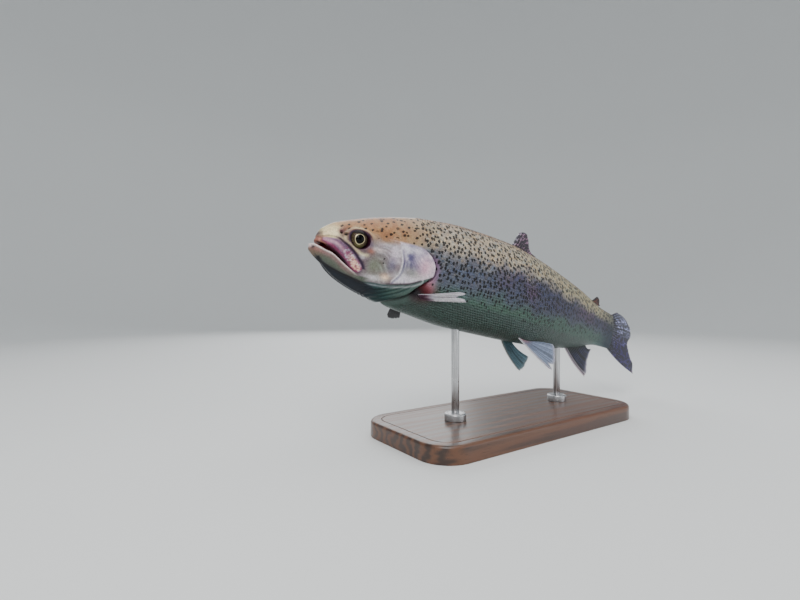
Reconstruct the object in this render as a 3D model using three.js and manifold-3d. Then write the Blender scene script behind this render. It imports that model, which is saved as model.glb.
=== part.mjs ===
// A life-size adult rainbow trout on a plain display stand, in millimetres, +Z up.
// The fish is modelled straight, its length along +X from the snout, its left side at -Y, its back at +Z.
// It is then bent along its spine, tipped nose up and set over the stand.
// The origin is the middle of the underside of the stand's base.
import * as THREE from "three";
import { mergeVertices } from "three/addons/utils/BufferGeometryUtils.js";
import Module from "manifold-3d";

const wasm = await Module();
wasm.setup();

// ---- Driving dimensions: the fish ----
const TOTAL_LENGTH = 520; // snout to the tip of the lower tail lobe
const HEAD_LENGTH = 112; // snout to the rear edge of the gill cover
const DORSAL_AT = 230; // where the front of the trunk is parted from its rear
const VENT_AT = 348; // where the trunk is parted from the tail
const TAIL_ROOT_AT = 444; // where the flesh of the tail ends in the tail fin
const GAP = 0.3; // thin cut between neighbouring pieces
const RING_SIDES = 24;
const RING_STEP = 11; // between the rings of the trunk and tail

// Half sizes of the body's cross-section at stations along it: above the spine, below it, and to each side.
const SECTIONS = [
  { at: 0, top: 5.6, bottom: 9.4, side: 5.2 },
  { at: 10, top: 13.6, bottom: 18, side: 10.3 },
  { at: 29, top: 22.5, bottom: 30, side: 16.5 },
  { at: 52, top: 32, bottom: 37, side: 22 },
  { at: 78, top: 40.5, bottom: 41.5, side: 25.2 },
  { at: 104, top: 47.3, bottom: 45, side: 27.2 },
  { at: 156, top: 54.6, bottom: 49.6, side: 30.6 },
  { at: 218, top: 56.6, bottom: 49.4, side: 32 },
  { at: 260, top: 53.6, bottom: 48.4, side: 30 },
  { at: 312, top: 46, bottom: 45.4, side: 24.3 },
  { at: 364, top: 36.8, bottom: 36.4, side: 16.2 },
  { at: 416, top: 25, bottom: 25.2, side: 8.6 },
  { at: 450, top: 22, bottom: 24.4, side: 4.2 },
];
const SNOUT_NOSE = 0.6; // how far the rounded front of the jaws stands in front of the first station
const SNOUT_BACK = 5; // how far the snout stands behind the tip of the lower jaw
const SNOUT_BACK_ENDS_AT = 24;
const JAW_KEEL = 1.3; // above 1, the lower half of the head narrows towards the throat
const KEEL_ENDS_AT = 130;

// ---- Driving dimensions: the pose ----
const NOSE_UP = 11.7; // degrees at the snout
const NOSE_UP_GAIN = 2.4; // more at the tail
const TURN_AT_SNOUT = -1.2; // degrees towards the fish's right, along the body's own curve
const TURN_GAIN = 3.6;
const TAIL_CLEARANCE = 30; // from the floor to the lowest point of the tail fin

// ---- Driving dimensions: the stand ----
const BASE = { length: 300, width: 132, height: 16, corner: 30, edge: 3 };
const ROD_DIAMETER = 8;
const ROD_SIDES = 20;
const ROD_STATIONS = { stand_rod_front: 170, stand_rod_rear: 334 };
const ROD_SOCKET = 9; // how deep the rods stand in the base
const COLLAR = { radius: 11, height: 7, edge: 1.5 };
const BASE_CENTRE_STATION = 238; // the station of the fish that stands over the middle of the base

const radians = THREE.MathUtils.degToRad;
const lerp = THREE.MathUtils.lerp;

// ---- The body's outline ----

// A smooth value between the stations, with slopes limited so that it never overshoots (Fritsch and Carlson).
function alongBody(key) {
  const slope = (i) =>
    (SECTIONS[i + 1][key] - SECTIONS[i][key]) / (SECTIONS[i + 1].at - SECTIONS[i].at);
  const last = SECTIONS.length - 1;
  const tangents = SECTIONS.map((_, i) => {
    if (i === 0) return slope(0) * 1.5;
    if (i === last) return slope(last - 1);
    const before = slope(i - 1);
    const after = slope(i);
    return before * after <= 0 ? 0 : (2 * before * after) / (before + after);
  });
  return (at) => {
    const x = THREE.MathUtils.clamp(at, SECTIONS[0].at, SECTIONS[last].at);
    const i = Math.min(last - 1, Math.max(0, SECTIONS.findIndex((s) => s.at > x) - 1));
    const j = x >= SECTIONS[last].at ? last - 1 : i;
    const span = SECTIONS[j + 1].at - SECTIONS[j].at;
    const t = (x - SECTIONS[j].at) / span;
    const a = (1 + 2 * t) * (1 - t) ** 2 * SECTIONS[j][key] + t * (1 - t) ** 2 * span * tangents[j];
    const b = t * t * (3 - 2 * t) * SECTIONS[j + 1][key] + t * t * (t - 1) * span * tangents[j + 1];
    return a + b;
  };
}
const topAt = alongBody("top");
const bottomAt = alongBody("bottom");
const sideAt = alongBody("side");
const keelAt = (at) => lerp(JAW_KEEL, 1, THREE.MathUtils.smoothstep(at, 40, KEEL_ENDS_AT));

// A point of the body's surface at a station, grown outwards. Angle 0 is the left flank, 90 degrees the back.
function skinPoint(at, angle, grow = 0) {
  const across = Math.cos(angle);
  const up = Math.sin(angle);
  const power = up < 0 ? keelAt(at) : 1;
  const half = (sideAt(at) + grow) * Math.sign(across) * Math.abs(across) ** power;
  const height = ((up < 0 ? bottomAt(at) : topAt(at)) + grow) * up;
  return new THREE.Vector3(at, -half, height);
}

// The upper half of the snout is set back from the lower jaw.
function setSnoutBack(point) {
  const upper = THREE.MathUtils.smoothstep(point.z, -6.5, -2);
  const near = 1 - THREE.MathUtils.smoothstep(point.x, 0, SNOUT_BACK_ENDS_AT);
  return point.setX(point.x + SNOUT_BACK * upper * near);
}

// How far out the left flank is at a station and a height above the spine.
function flankAt(at, height) {
  const reach = height < 0 ? bottomAt(at) : topAt(at);
  const up = THREE.MathUtils.clamp(height / reach, -1, 1);
  return sideAt(at) * Math.sqrt(1 - up * up) ** (up < 0 ? keelAt(at) : 1);
}

// ---- Solids ----

function solidOf(geometry) {
  const bare = new THREE.BufferGeometry()
    .setAttribute("position", geometry.getAttribute("position"))
    .setIndex(geometry.index);
  const merged = mergeVertices(bare, 1e-4);
  const triVerts = new Uint32Array(merged.index.array);
  const vertProperties = new Float32Array(merged.attributes.position.array);
  return new wasm.Manifold(new wasm.Mesh({ numProp: 3, vertProperties, triVerts }));
}

function geometryOf(solid) {
  const mesh = solid.getMesh();
  return new THREE.BufferGeometry()
    .setAttribute("position", new THREE.BufferAttribute(new Float32Array(mesh.vertProperties), 3))
    .setIndex(new THREE.BufferAttribute(new Uint32Array(mesh.triVerts), 1));
}

// Joins rings of points, each with the same count, into one closed solid with fanned ends.
function skinOver(rings) {
  const sides = rings[0].length;
  const points = rings.flat();
  const faces = [];
  for (let r = 0; r + 1 < rings.length; r++)
    for (let k = 0; k < sides; k++) {
      const next = (k + 1) % sides;
      const [a, b] = [r * sides + k, r * sides + next];
      faces.push(a, a + sides, b, b, a + sides, b + sides);
    }
  for (const [ring, flip] of [[0, false], [rings.length - 1, true]]) {
    const centre = rings[ring].reduce((sum, p) => sum.add(p), new THREE.Vector3());
    points.push(centre.divideScalar(sides));
    const hub = points.length - 1;
    for (let k = 0; k < sides; k++) {
      const [a, b] = [ring * sides + k, ring * sides + ((k + 1) % sides)];
      faces.push(...(flip ? [hub, b, a] : [hub, a, b]));
    }
  }
  const geometry = new THREE.BufferGeometry().setFromPoints(points).setIndex(faces);
  const solid = solidOf(geometry);
  return solid.volume() < 0 ? solidOf(geometry.setIndex(faces.reverse())) : solid;
}

// A length of the body between two stations, grown outwards, with a rounded nose if it starts at the snout.
function bodyLength(from, to, grow = 0, step = RING_STEP) {
  const stations = [];
  const count = Math.max(1, Math.round((to - from) / step));
  for (let i = 0; i <= count; i++) stations.push(lerp(from, to, i / count));
  const ring = (at, share = 1, forward = 0) =>
    Array.from({ length: RING_SIDES }, (_, k) => {
      const p = skinPoint(at, (2 * Math.PI * k) / RING_SIDES, grow);
      return setSnoutBack(new THREE.Vector3(p.x - forward, p.y * share, p.z * share));
    });
  const rings = stations.map((at) => ring(at));
  if (from === 0) {
    const nose = SNOUT_NOSE + grow;
    for (const lean of [30, 60, 80]) {
      const turn = radians(lean);
      rings.unshift(ring(0, Math.cos(turn), nose * Math.sin(turn)));
    }
  }
  return skinOver(rings);
}

// A slab across the whole fish with an outline seen from its left side: pairs of station and height.
function sideSlab(outline, outFrom = -80, outTo = 80) {
  const shape = new THREE.Shape(outline.map(([at, height]) => new THREE.Vector2(at, height)));
  const options = { depth: outTo - outFrom, bevelEnabled: false };
  const geometry = new THREE.ExtrudeGeometry(shape, options).rotateX(Math.PI / 2);
  return solidOf(geometry.translate(0, -outFrom, 0));
}

const smooth = (points, count) =>
  new THREE.CatmullRomCurve3(points.map(([x, z]) => new THREE.Vector3(x, 0, z)))
    .getPoints(count)
    .map((p) => [p.x, p.z]);

// ---- The spine, which bends the straight fish ----
const SPINE_STEP = 4;
const spine = [];
for (let at = 0, place = new THREE.Vector3(); at <= TOTAL_LENGTH + 40; at += SPINE_STEP) {
  const share = at / TOTAL_LENGTH;
  const turn = radians(TURN_AT_SNOUT + TURN_GAIN * share * share);
  const drop = radians(NOSE_UP + NOSE_UP_GAIN * share * share);
  const backwards = new THREE.Vector3(
    Math.cos(turn) * Math.cos(drop), Math.sin(turn) * Math.cos(drop), -Math.sin(drop),
  );
  const right = new THREE.Vector3(-Math.sin(turn), Math.cos(turn), 0);
  const up = new THREE.Vector3().crossVectors(backwards, right);
  spine.push({ place: place.clone(), backwards, right, up });
  place = place.addScaledVector(backwards, SPINE_STEP);
}

function onSpine(point) {
  const x = THREE.MathUtils.clamp(point.x, 0, TOTAL_LENGTH + 30);
  const i = Math.floor(x / SPINE_STEP);
  const t = x / SPINE_STEP - i;
  const mix = (key) => spine[i][key].clone().lerp(spine[i + 1][key], t);
  return mix("place")
    .addScaledVector(mix("backwards").normalize(), point.x - x)
    .addScaledVector(mix("right").normalize(), point.y)
    .addScaledVector(mix("up").normalize(), point.z);
}

function bent(solid) {
  const geometry = geometryOf(solid);
  const places = geometry.attributes.position;
  const p = new THREE.Vector3();
  for (let i = 0; i < places.count; i++) {
    const q = onSpine(p.fromBufferAttribute(places, i));
    places.setXYZ(i, q.x, q.y, q.z);
  }
  return geometry;
}

// ---- The mouth, which parts the head from the lower jaw ----
const MOUTH_LINE = [[-12, -2.6], [0, -3.4], [12, -6.6], [19, -9.1], [30, -16.2], [43, -23]];
const GAPE = 3.6; // how far the mouth is open at the lips
const MOUTH_CORNER_AT = 38;
// Behind the corner of the mouth the cut follows the lower edge of the cheek and gill cover.
const CHEEK_LINE = [[43, -23], [54, -25.6], [72, -24.6], [90, -20.5], [106, -14]];
const MOUTH_STEPS = 13;
const CHEEK_STEPS = 6;

function mouthSlab(extra = 0) {
  const line = smooth(MOUTH_LINE, MOUTH_STEPS);
  const half = ([at]) => {
    const shut = THREE.MathUtils.smoothstep(at, 8, MOUTH_CORNER_AT);
    return lerp(GAPE, GAP, shut) / 2 + extra;
  };
  const upper = line.map((p) => [p[0], p[1] + half(p)]);
  const lower = line.map((p) => [p[0], p[1] - half(p)]).reverse();
  return sideSlab([...upper, ...lower]);
}
const cheekSlab = () => {
  const line = smooth(CHEEK_LINE, CHEEK_STEPS);
  const up = line.map(([at, height]) => [at, height + GAP / 2]);
  const down = line.map(([at, height]) => [at, height - GAP / 2]).reverse();
  return sideSlab([...up, ...down]);
};
// Everything below the mouth and cheek lines.
function belowMouth() {
  const line = [...smooth(MOUTH_LINE, MOUTH_STEPS), ...smooth(CHEEK_LINE, CHEEK_STEPS).slice(1)];
  return sideSlab([...line, [106, -90], [-12, -90]]);
}

// ---- The neck, where the head and throat are parted from the trunk ----
// The cut runs down under the gill covers and then forwards along the gill opening.
const NECK_LINE = [[98, 90], [98, -14], [91, -28], [80, -36.4], [73, -42], [66, -90]];
const shiftedNeck = (shift) => NECK_LINE.map(([at, height]) => [at + shift, height]);
const inFrontOfNeck = () => sideSlab([[-20, 90], ...shiftedNeck(-GAP / 2), [-20, -90]]);
const behindNeck = () => sideSlab([[260, 90], [260, -90], ...shiftedNeck(GAP / 2).reverse()]);

// ---- Gill covers: curved plates that stand a little proud of the head and hide the neck ----
const GILL_COVER = {
  outline: [
    [60, 9], [70, 12.6], [82, 14], [94, 13.8], [102, 11.6], [108.5, 6.5], [HEAD_LENGTH, -1.5],
    [HEAD_LENGTH, -8], [108, -13.5], [99, -19.2], [88, -22.6], [72, -24.2], [62, -23.6], [57, -14], [57, -2],
  ],
  proud: 1.1,
  depth: 2.6,
  steps: 20,
};
function gillOutline(grow) {
  const loop = new THREE.CatmullRomCurve3(
    GILL_COVER.outline.map(([x, z]) => new THREE.Vector3(x, 0, z)), true,
  );
  const points = loop.getPoints(GILL_COVER.steps).slice(0, -1);
  return points.map((p, i) => {
    const before = points[(i + points.length - 1) % points.length];
    const along = points[(i + 1) % points.length].clone().sub(before).normalize();
    return [p.x - along.z * grow, p.z + along.x * grow];
  });
}
const plateBody = (grow) =>
  bodyLength(50, 126, GILL_COVER.proud + grow, 6).subtract(bodyLength(44, 132, -GILL_COVER.depth - grow, 6));

// side is 1 for the fish's left and -1 for its right.
const gillSlab = (side, grow) =>
  side > 0 ? sideSlab(gillOutline(grow), 6, 60) : sideSlab(gillOutline(grow), -60, -6);
const gillCover = (side) => plateBody(0).intersect(gillSlab(side, 0));
const gillRecess = (side) => plateBody(GAP).intersect(gillSlab(side, GAP));

// ---- Eyes ----
const EYE = { at: 37.5, height: 6, radius: 8.3, flat: 0.82, bulge: 2.3, around: 16, rows: 9 };
function eyeBall(side, grow = 0) {
  const flank = flankAt(EYE.at, EYE.height);
  const sphere = new THREE.SphereGeometry(EYE.radius + grow, EYE.around, EYE.rows);
  sphere.rotateX(Math.PI / 2).scale(1, EYE.flat, 1);
  const out = flank + EYE.bulge - (EYE.radius * EYE.flat);
  return solidOf(sphere.translate(EYE.at, -side * out, EYE.height));
}

// ---- Upper jaw bones: long thin plates along the edge of the mouth ----
const MAXILLA = {
  spine: [[9, -1.6], [19, -3], [29, -9], [37, -15.3], [43, -19.2]],
  halfWidths: [1.8, 3.9, 4.6, 4.3, 2],
  proud: 1,
  depth: 1.6,
  lipClear: 2.6, // the head is cut away this far below the bone, so that no thin web is left over the mouth
};
function maxillaOutline(grow, below = grow) {
  const line = new THREE.CatmullRomCurve3(MAXILLA.spine.map(([x, z]) => new THREE.Vector3(x, 0, z)));
  const steps = 8;
  const edge = (sign) =>
    Array.from({ length: steps + 1 }, (_, i) => {
      const t = i / steps;
      const along = line.getTangent(t);
      const beyond = i === 0 ? -grow : i === steps ? grow : 0;
      const p = line.getPoint(t).addScaledVector(along, beyond);
      const place = t * (MAXILLA.halfWidths.length - 1);
      const j = Math.min(MAXILLA.halfWidths.length - 2, Math.floor(place));
      const bare = lerp(MAXILLA.halfWidths[j], MAXILLA.halfWidths[j + 1], place - j);
      const half = bare + (sign > 0 ? grow : below);
      return [p.x - sign * along.z * half, p.z + sign * along.x * half];
    });
  return [...edge(1), ...edge(-1).reverse()];
}
const jawShell = (grow) =>
  bodyLength(0, 56, MAXILLA.proud + grow, 5).subtract(bodyLength(0, 62, -MAXILLA.depth - grow, 5));
const maxillaSlab = (side, grow, below) => {
  const outline = maxillaOutline(grow, below);
  return side > 0 ? sideSlab(outline, 3, 50) : sideSlab(outline, -50, -3);
};
const maxilla = (side) => jawShell(0).intersect(maxillaSlab(side, 0, 0));
const maxillaRecess = (side, below = GAP) => jawShell(GAP).intersect(maxillaSlab(side, GAP, below));

// ---- The lower jaw's blunt tip, which stands a little in front of the snout ----
const CHIN = { at: 9.2, height: -8.9, long: 6.4, wide: 5.4, tall: 4.4 };
function chinTip() {
  const blob = new THREE.SphereGeometry(1, 14, 8).scale(CHIN.long, CHIN.wide, CHIN.tall);
  return solidOf(blob.translate(CHIN.at, 0, CHIN.height));
}

const SIDES = [1, -1];
const cut = (solid, cutters) => cutters.reduce((left, cutter) => left.subtract(cutter), solid);
const gillRecesses = SIDES.map((side) => gillRecess(side));

function headParts() {
  const whole = bodyLength(0, 110, 0, 7).intersect(inFrontOfNeck());
  const below = belowMouth();
  const split = JAW_REAR_AT;
  const upper = whole.subtract(below).subtract(mouthSlab()).subtract(cheekSlab());
  const lower = whole.intersect(below).subtract(mouthSlab()).subtract(cheekSlab());
  const front = sideSlab([[-12, 20], [split - GAP / 2, 20], [split - GAP / 2, -90], [-12, -90]]);
  const rear = sideSlab([[split + GAP / 2, 20], [110, 20], [110, -90], [split + GAP / 2, -90]]);
  return {
    head: cut(upper, [
      ...gillRecesses,
      ...SIDES.map((side) => eyeBall(side, GAP)),
      ...SIDES.map((side) => maxillaRecess(side, MAXILLA.lipClear)),
    ]),
    lower_jaw: cut(
      lower.intersect(front).add(chinTip().subtract(mouthSlab()).intersect(below)),
      SIDES.map((side) => maxillaRecess(side)),
    ),
    throat: cut(lower.intersect(rear), gillRecesses),
  };
}
const JAW_REAR_AT = 54;

// ---- Fins: fans of rays from a root line, each a thin tapered blade ----

// root(u) and tip(u) give a fin ray's two ends as u runs from the leading ray, 0, to the last, 1.
// bow(u, v) pushes the blade sideways and sweep(u) curves a ray towards the leading edge.
// The root is sunk under the skin and then cut back to it.
const FIN = { rays: 10, steps: 4, thick: 2.2, edge: 0.8, sunk: 3, bow: () => 0, sweep: () => 0 };
function fin(blade) {
  const { root, tip, bow, sweep, rays, steps, thick, edge, sideways, sunk } = { ...FIN, ...blade };
  const forward = root(0).sub(root(1));
  const side = (sign) =>
    Array.from({ length: rays + 1 }, (_, i) => {
      const u = i / rays;
      const start = root(u);
      const end = tip(u);
      const along = end.clone().sub(start).normalize();
      const from = start.clone().addScaledVector(along, -sunk);
      const leading = forward.clone().addScaledVector(along, -forward.dot(along)).normalize();
      return Array.from({ length: steps + 1 }, (_, j) => {
        const v = j / steps;
        const half = lerp(thick, edge, v) / 2;
        return from.clone().lerp(end, v)
          .addScaledVector(leading, sweep(u) * Math.sin(Math.PI * v))
          .addScaledVector(sideways, sign * half + bow(u, v));
      });
    });
  const [near, far] = [side(1), side(-1)];
  const columns = near[0].length;
  const rings = near.map((row, i) => [...row, ...far[i].slice(0, columns).reverse()]);
  return skinOver(rings);
}
const trimmed = (solid, from, to) => solid.subtract(bodyLength(from, to, GAP));
const vec = (x, y, z) => new THREE.Vector3(x, y, z);
const ACROSS = vec(0, 1, 0);
const bump = (u, centre, spread) => Math.exp(-(((u - centre) / spread) ** 2));

const DORSAL = {
  from: 231,
  to: 270,
  tall: 25,
  low: 4,
  peak: 0.18,
  spread: 0.36,
  leanFront: 26,
  leanRear: 50,
};
function dorsalFin() {
  const root = (u) => {
    const at = lerp(DORSAL.from, DORSAL.to, u);
    return vec(at, 0, topAt(at));
  };
  const tip = (u) => {
    const lean = radians(lerp(DORSAL.leanFront, DORSAL.leanRear, u));
    const long = DORSAL.low + (DORSAL.tall - DORSAL.low) * bump(u, DORSAL.peak, DORSAL.spread);
    return root(u).add(vec(Math.sin(lean) * long, 0, Math.cos(lean) * long));
  };
  return trimmed(fin({ root, tip, sideways: ACROSS }), 205, 300);
}

const ADIPOSE = { from: 392, to: 405, long: 16, short: 13, lean: 52, leanGain: 26, thick: 4, edge: 2.2 };
function adiposeFin() {
  const root = (u) => {
    const at = lerp(ADIPOSE.from, ADIPOSE.to, u);
    return vec(at, 0, topAt(at) - 1);
  };
  const tip = (u) => {
    const lean = radians(ADIPOSE.lean + ADIPOSE.leanGain * u);
    const round = 0.62 + 0.38 * Math.sin(Math.PI * Math.min(1, u + 0.28));
    const long = lerp(ADIPOSE.long, ADIPOSE.short, u) * round;
    return root(u).add(vec(Math.sin(lean) * long, 0, Math.cos(lean) * long));
  };
  const blade = { root, tip, rays: 8, steps: 3, thick: ADIPOSE.thick, edge: ADIPOSE.edge, sideways: ACROSS };
  return trimmed(fin(blade), 360, 430);
}

const ANAL = {
  from: 350,
  to: 394,
  tipAt: 402,
  tipHeight: -69,
  lastAt: 403,
  lastHeight: -31,
  hollow: 4,
  sweep: 2.6,
};
function analFin() {
  const root = (u) => {
    const at = lerp(ANAL.from, ANAL.to, u);
    return vec(at, 0, -bottomAt(at));
  };
  const tip = (u) => {
    const blunt = 5 * bump(u, 0, 0.08);
    const at = lerp(ANAL.tipAt, ANAL.lastAt, u) + 3 - blunt - ANAL.hollow * Math.sin(Math.PI * u);
    return vec(at, 0, lerp(ANAL.tipHeight, ANAL.lastHeight, u ** 0.9));
  };
  return trimmed(fin({ root, tip, sweep: () => ANAL.sweep, sideways: ACROSS }), 330, 430);
}

// The tail fin fans from a root line across the end of the tail.
// Its upper lobe is worn round and curls to the right.
const CAUDAL = {
  rootTop: 19,
  rootBottom: -22,
  edge: [[489, 34], [500, 31], [508, 23], [511, 14], [509, 5], [496, -8], [506, -24], [517, -34], [522, -48]],
  curl: 17,
  sweep: 3,
};
const caudalEdge = new THREE.CatmullRomCurve3(CAUDAL.edge.map(([x, z]) => new THREE.Vector3(x, 0, z)));
function caudalFin() {
  const root = (u) => {
    const at = TAIL_ROOT_AT - 6 + 4 * Math.sin(Math.PI * u);
    return vec(at, 0, lerp(CAUDAL.rootTop, CAUDAL.rootBottom, u));
  };
  const tip = (u) => caudalEdge.getPointAt(u);
  const bow = (u, v) => CAUDAL.curl * v * v * Math.max(0, 1 - u / 0.55) ** 1.4;
  const sweep = (u) => CAUDAL.sweep * (1 - 2 * u);
  const blade = { root, tip, bow, sweep, rays: 16, thick: 4.4, edge: 0.9, sunk: 0, sideways: ACROSS };
  return trimmed(fin(blade), 400, TAIL_ROOT_AT + GAP);
}

// Paired fins: first and last are the ways the leading and the last ray run, backwards, outwards and up.
// spread is how long the rays are taken to be where the blade's flat side is worked out.
function pairedFin({ rootFrom, rootTo, first, last, lengths, side, spread, sweep = 0 }) {
  const root = (u) => {
    const [at, height] = [lerp(rootFrom[0], rootTo[0], u), lerp(rootFrom[1], rootTo[1], u)];
    return vec(at, -side * (flankAt(at, height) - 0.5), height);
  };
  const outwards = ([back, out, up]) => vec(back, -side * out, up);
  const way = (u) => outwards(first).lerp(outwards(last), u).normalize();
  const tip = (u) => root(u).addScaledVector(way(u), lengths(u));
  const rim = root(1).sub(root(0)).add(way(1).sub(way(0)).multiplyScalar(spread));
  const sideways = way(0).cross(rim).normalize();
  return fin({ root, tip, sweep: () => sweep, rays: 9, steps: 3, thick: 2.4, sideways });
}

const PELVIC = { rootFrom: [248.5, -43.2], rootTo: [264, -44.5], sweep: 2.4 };
const PELVIC_POSES = {
  1: { first: [42.5, 13.6, -28.5], last: [37.5, 10, 3], shorter: 18 },
  "-1": { first: [38, 0, -33.5], last: [38, 3, -14], shorter: 13 },
};
function pelvicFin(side) {
  const pose = PELVIC_POSES[side];
  const lengths = (u) => 55 - 4 * bump(u, 0, 0.05) - pose.shorter * u ** 1.5;
  return trimmed(pairedFin({ ...PELVIC, ...pose, lengths, side, spread: 40 }), 225, 320);
}

const PECTORAL = { rootFrom: [106, -25.5], rootTo: [115, -31] };
// Worn short, with a notch between its two longest groups of rays.
const pectoralLength = (u) => 43 - 4 * bump(u, 0, 0.08) - 11 * bump(u, 0.5, 0.16) - 3 * u * u;
const PECTORAL_POSES = {
  1: { first: [39, 11, 10.5], last: [38, 12, 6] },
  "-1": { first: [14, 36, -10], last: [21, 31, -9] },
};
function pectoralFin(side) {
  const blade = pairedFin({ ...PECTORAL, ...PECTORAL_POSES[side], lengths: pectoralLength, side, spread: 30 });
  return trimmed(blade, 90, 200).subtract(gillRecess(side));
}

// ---- The stand ----
function roundedBase() {
  const [x, y] = [BASE.length / 2 - BASE.edge, BASE.width / 2 - BASE.edge];
  const r = BASE.corner;
  const shape = new THREE.Shape()
    .moveTo(x - r, -y).absarc(x - r, -y + r, r, -Math.PI / 2, 0)
    .absarc(x - r, y - r, r, 0, Math.PI / 2)
    .absarc(-x + r, y - r, r, Math.PI / 2, Math.PI)
    .absarc(-x + r, -y + r, r, Math.PI, 1.5 * Math.PI);
  // The lower rounding is cut off with the underside, which is flat and square-edged.
  const blank = new THREE.ExtrudeGeometry(shape, {
    depth: BASE.height - BASE.edge,
    bevelSize: BASE.edge,
    bevelThickness: BASE.edge,
    bevelSegments: 2,
    curveSegments: 6,
  });
  const keep = new THREE.BoxGeometry(2 * BASE.length, 2 * BASE.width, BASE.height);
  return solidOf(blank).intersect(solidOf(keep.translate(0, 0, BASE.height / 2)));
}

function upright(radius, from, to, edge = 0) {
  const profile = [[0, from], [radius, from], [radius, to - edge], [radius - edge, to], [0, to]];
  const kept = profile.filter(([r, z], i) => i === 0 || r !== profile[i - 1][0] || z !== profile[i - 1][1]);
  const points = kept.map(([r, z]) => new THREE.Vector2(r, z));
  return solidOf(new THREE.LatheGeometry(points, ROD_SIDES).rotateX(Math.PI / 2));
}

// ---- Materials ----
const flesh = (color) => new THREE.MeshStandardMaterial({ color, roughness: 0.35, metalness: 0.1 });
const back = flesh(0x8d8c6e);
const flank = flesh(0x84828f);
const silver = flesh(0xb9b4b8);
const jaw = flesh(0x9c9a88);
const finGrey = flesh(0x8c8a96);
const eyeDark = new THREE.MeshStandardMaterial({ color: 0x14120e, roughness: 0.05 });
const walnut = new THREE.MeshStandardMaterial({ color: 0x4a2e1c, roughness: 0.45 });
const steel = new THREE.MeshStandardMaterial({ color: 0xb8b9bb, roughness: 0.3, metalness: 0.95 });

// ---- Assembly ----
const trout = new THREE.Group();
const place = (name, geometry, material, parent = trout) => {
  const mesh = new THREE.Mesh(geometry, material);
  mesh.name = name;
  parent.add(mesh);
  return mesh;
};

const fish = new THREE.Group();
trout.add(fish);
const { head, lower_jaw, throat } = headParts();
place("head", bent(head), back, fish);
place("lower_jaw", bent(lower_jaw), jaw, fish);
place("throat", bent(throat), jaw, fish);
const trunkFront = bodyLength(60, DORSAL_AT - GAP / 2).intersect(behindNeck());
place("trunk_front", bent(cut(trunkFront, gillRecesses)), flank, fish);
place("trunk_rear", bent(bodyLength(DORSAL_AT + GAP / 2, VENT_AT - GAP / 2)), flank, fish);
place("tail", bent(bodyLength(VENT_AT + GAP / 2, TAIL_ROOT_AT)), flank, fish);
for (const [side, name] of [[1, "left"], [-1, "right"]]) {
  place(`gill_cover_${name}`, bent(gillCover(side)), silver, fish);
  place(`upper_jaw_bone_${name}`, bent(maxilla(side)), jaw, fish);
  place(`eye_${name}`, bent(eyeBall(side)), eyeDark, fish);
  place(`pectoral_fin_${name}`, bent(pectoralFin(side)), finGrey, fish);
  place(`pelvic_fin_${name}`, bent(pelvicFin(side)), finGrey, fish);
}
place("dorsal_fin", bent(dorsalFin()), finGrey, fish);
place("adipose_fin", bent(adiposeFin()), back, fish);
place("anal_fin", bent(analFin()), finGrey, fish);
place("caudal_fin", bent(caudalFin()), finGrey, fish);

// The fish is set over the middle of the base, with its lowest point at the stated clearance.
fish.updateMatrixWorld(true);
const lowest = new THREE.Box3().setFromObject(fish, true).min.z;
const over = onSpine(vec(BASE_CENTRE_STATION, 0, 0));
fish.position.set(-over.x, -over.y, TAIL_CLEARANCE - lowest);

const belly = solidOf(bent(bodyLength(60, 420, GAP)).translate(...fish.position.toArray()));
let base = roundedBase();
for (const [name, at] of Object.entries(ROD_STATIONS)) {
  const foot = onSpine(vec(at, 0, -bottomAt(at))).add(fish.position);
  const onFoot = (solid) => solid.translate(foot.x, foot.y, 0);
  const socketFloor = BASE.height - ROD_SOCKET;
  base = base.subtract(onFoot(upright(ROD_DIAMETER / 2 + GAP, socketFloor, BASE.height + 1)));
  const rod = onFoot(upright(ROD_DIAMETER / 2, socketFloor + GAP, foot.z + 12)).subtract(belly);
  place(name, geometryOf(rod), steel);
  const collarTop = BASE.height + GAP + COLLAR.height;
  const collar = upright(COLLAR.radius, BASE.height + GAP, collarTop, COLLAR.edge)
    .subtract(upright(ROD_DIAMETER / 2 + GAP, BASE.height, collarTop + 1));
  place(name.replace("rod", "collar"), geometryOf(onFoot(collar)), steel);
}
place("stand_base", geometryOf(base), walnut);

export default trout;
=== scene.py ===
"""The looks of a life-size museum model of a rainbow trout on a plain stand.

The fish is shaped straight and in millimetres: x runs back from the snout, y to its right and z up from its
spine. It is then bent along its spine and set in the frame, in metres.
"""

import logging
import math
from collections.abc import Callable, Sequence
from dataclasses import dataclass, field
from enum import Enum

import bpy
import numpy as np
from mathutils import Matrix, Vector


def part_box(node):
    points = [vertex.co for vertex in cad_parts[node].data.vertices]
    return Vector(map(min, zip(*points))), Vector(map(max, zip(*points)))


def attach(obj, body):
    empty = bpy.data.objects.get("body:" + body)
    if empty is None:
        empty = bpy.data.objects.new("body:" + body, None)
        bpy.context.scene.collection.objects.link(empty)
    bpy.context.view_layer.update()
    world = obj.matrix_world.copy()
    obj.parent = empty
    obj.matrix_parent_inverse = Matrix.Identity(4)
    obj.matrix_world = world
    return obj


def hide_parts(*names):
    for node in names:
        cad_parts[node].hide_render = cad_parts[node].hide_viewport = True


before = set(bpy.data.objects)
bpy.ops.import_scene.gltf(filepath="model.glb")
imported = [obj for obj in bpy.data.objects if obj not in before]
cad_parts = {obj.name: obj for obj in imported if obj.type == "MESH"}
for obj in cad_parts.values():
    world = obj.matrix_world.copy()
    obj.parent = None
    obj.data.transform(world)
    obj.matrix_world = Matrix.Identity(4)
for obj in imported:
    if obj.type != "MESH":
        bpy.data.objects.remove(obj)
bpy.ops.object.select_all(action="DESELECT")
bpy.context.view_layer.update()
log = logging.getLogger("trout")

MM = 0.001
SEED = 41
Points = Sequence[tuple[float, float]]
Colour = tuple[float, float, float]
CLOUD_TABLE = 211


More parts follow.
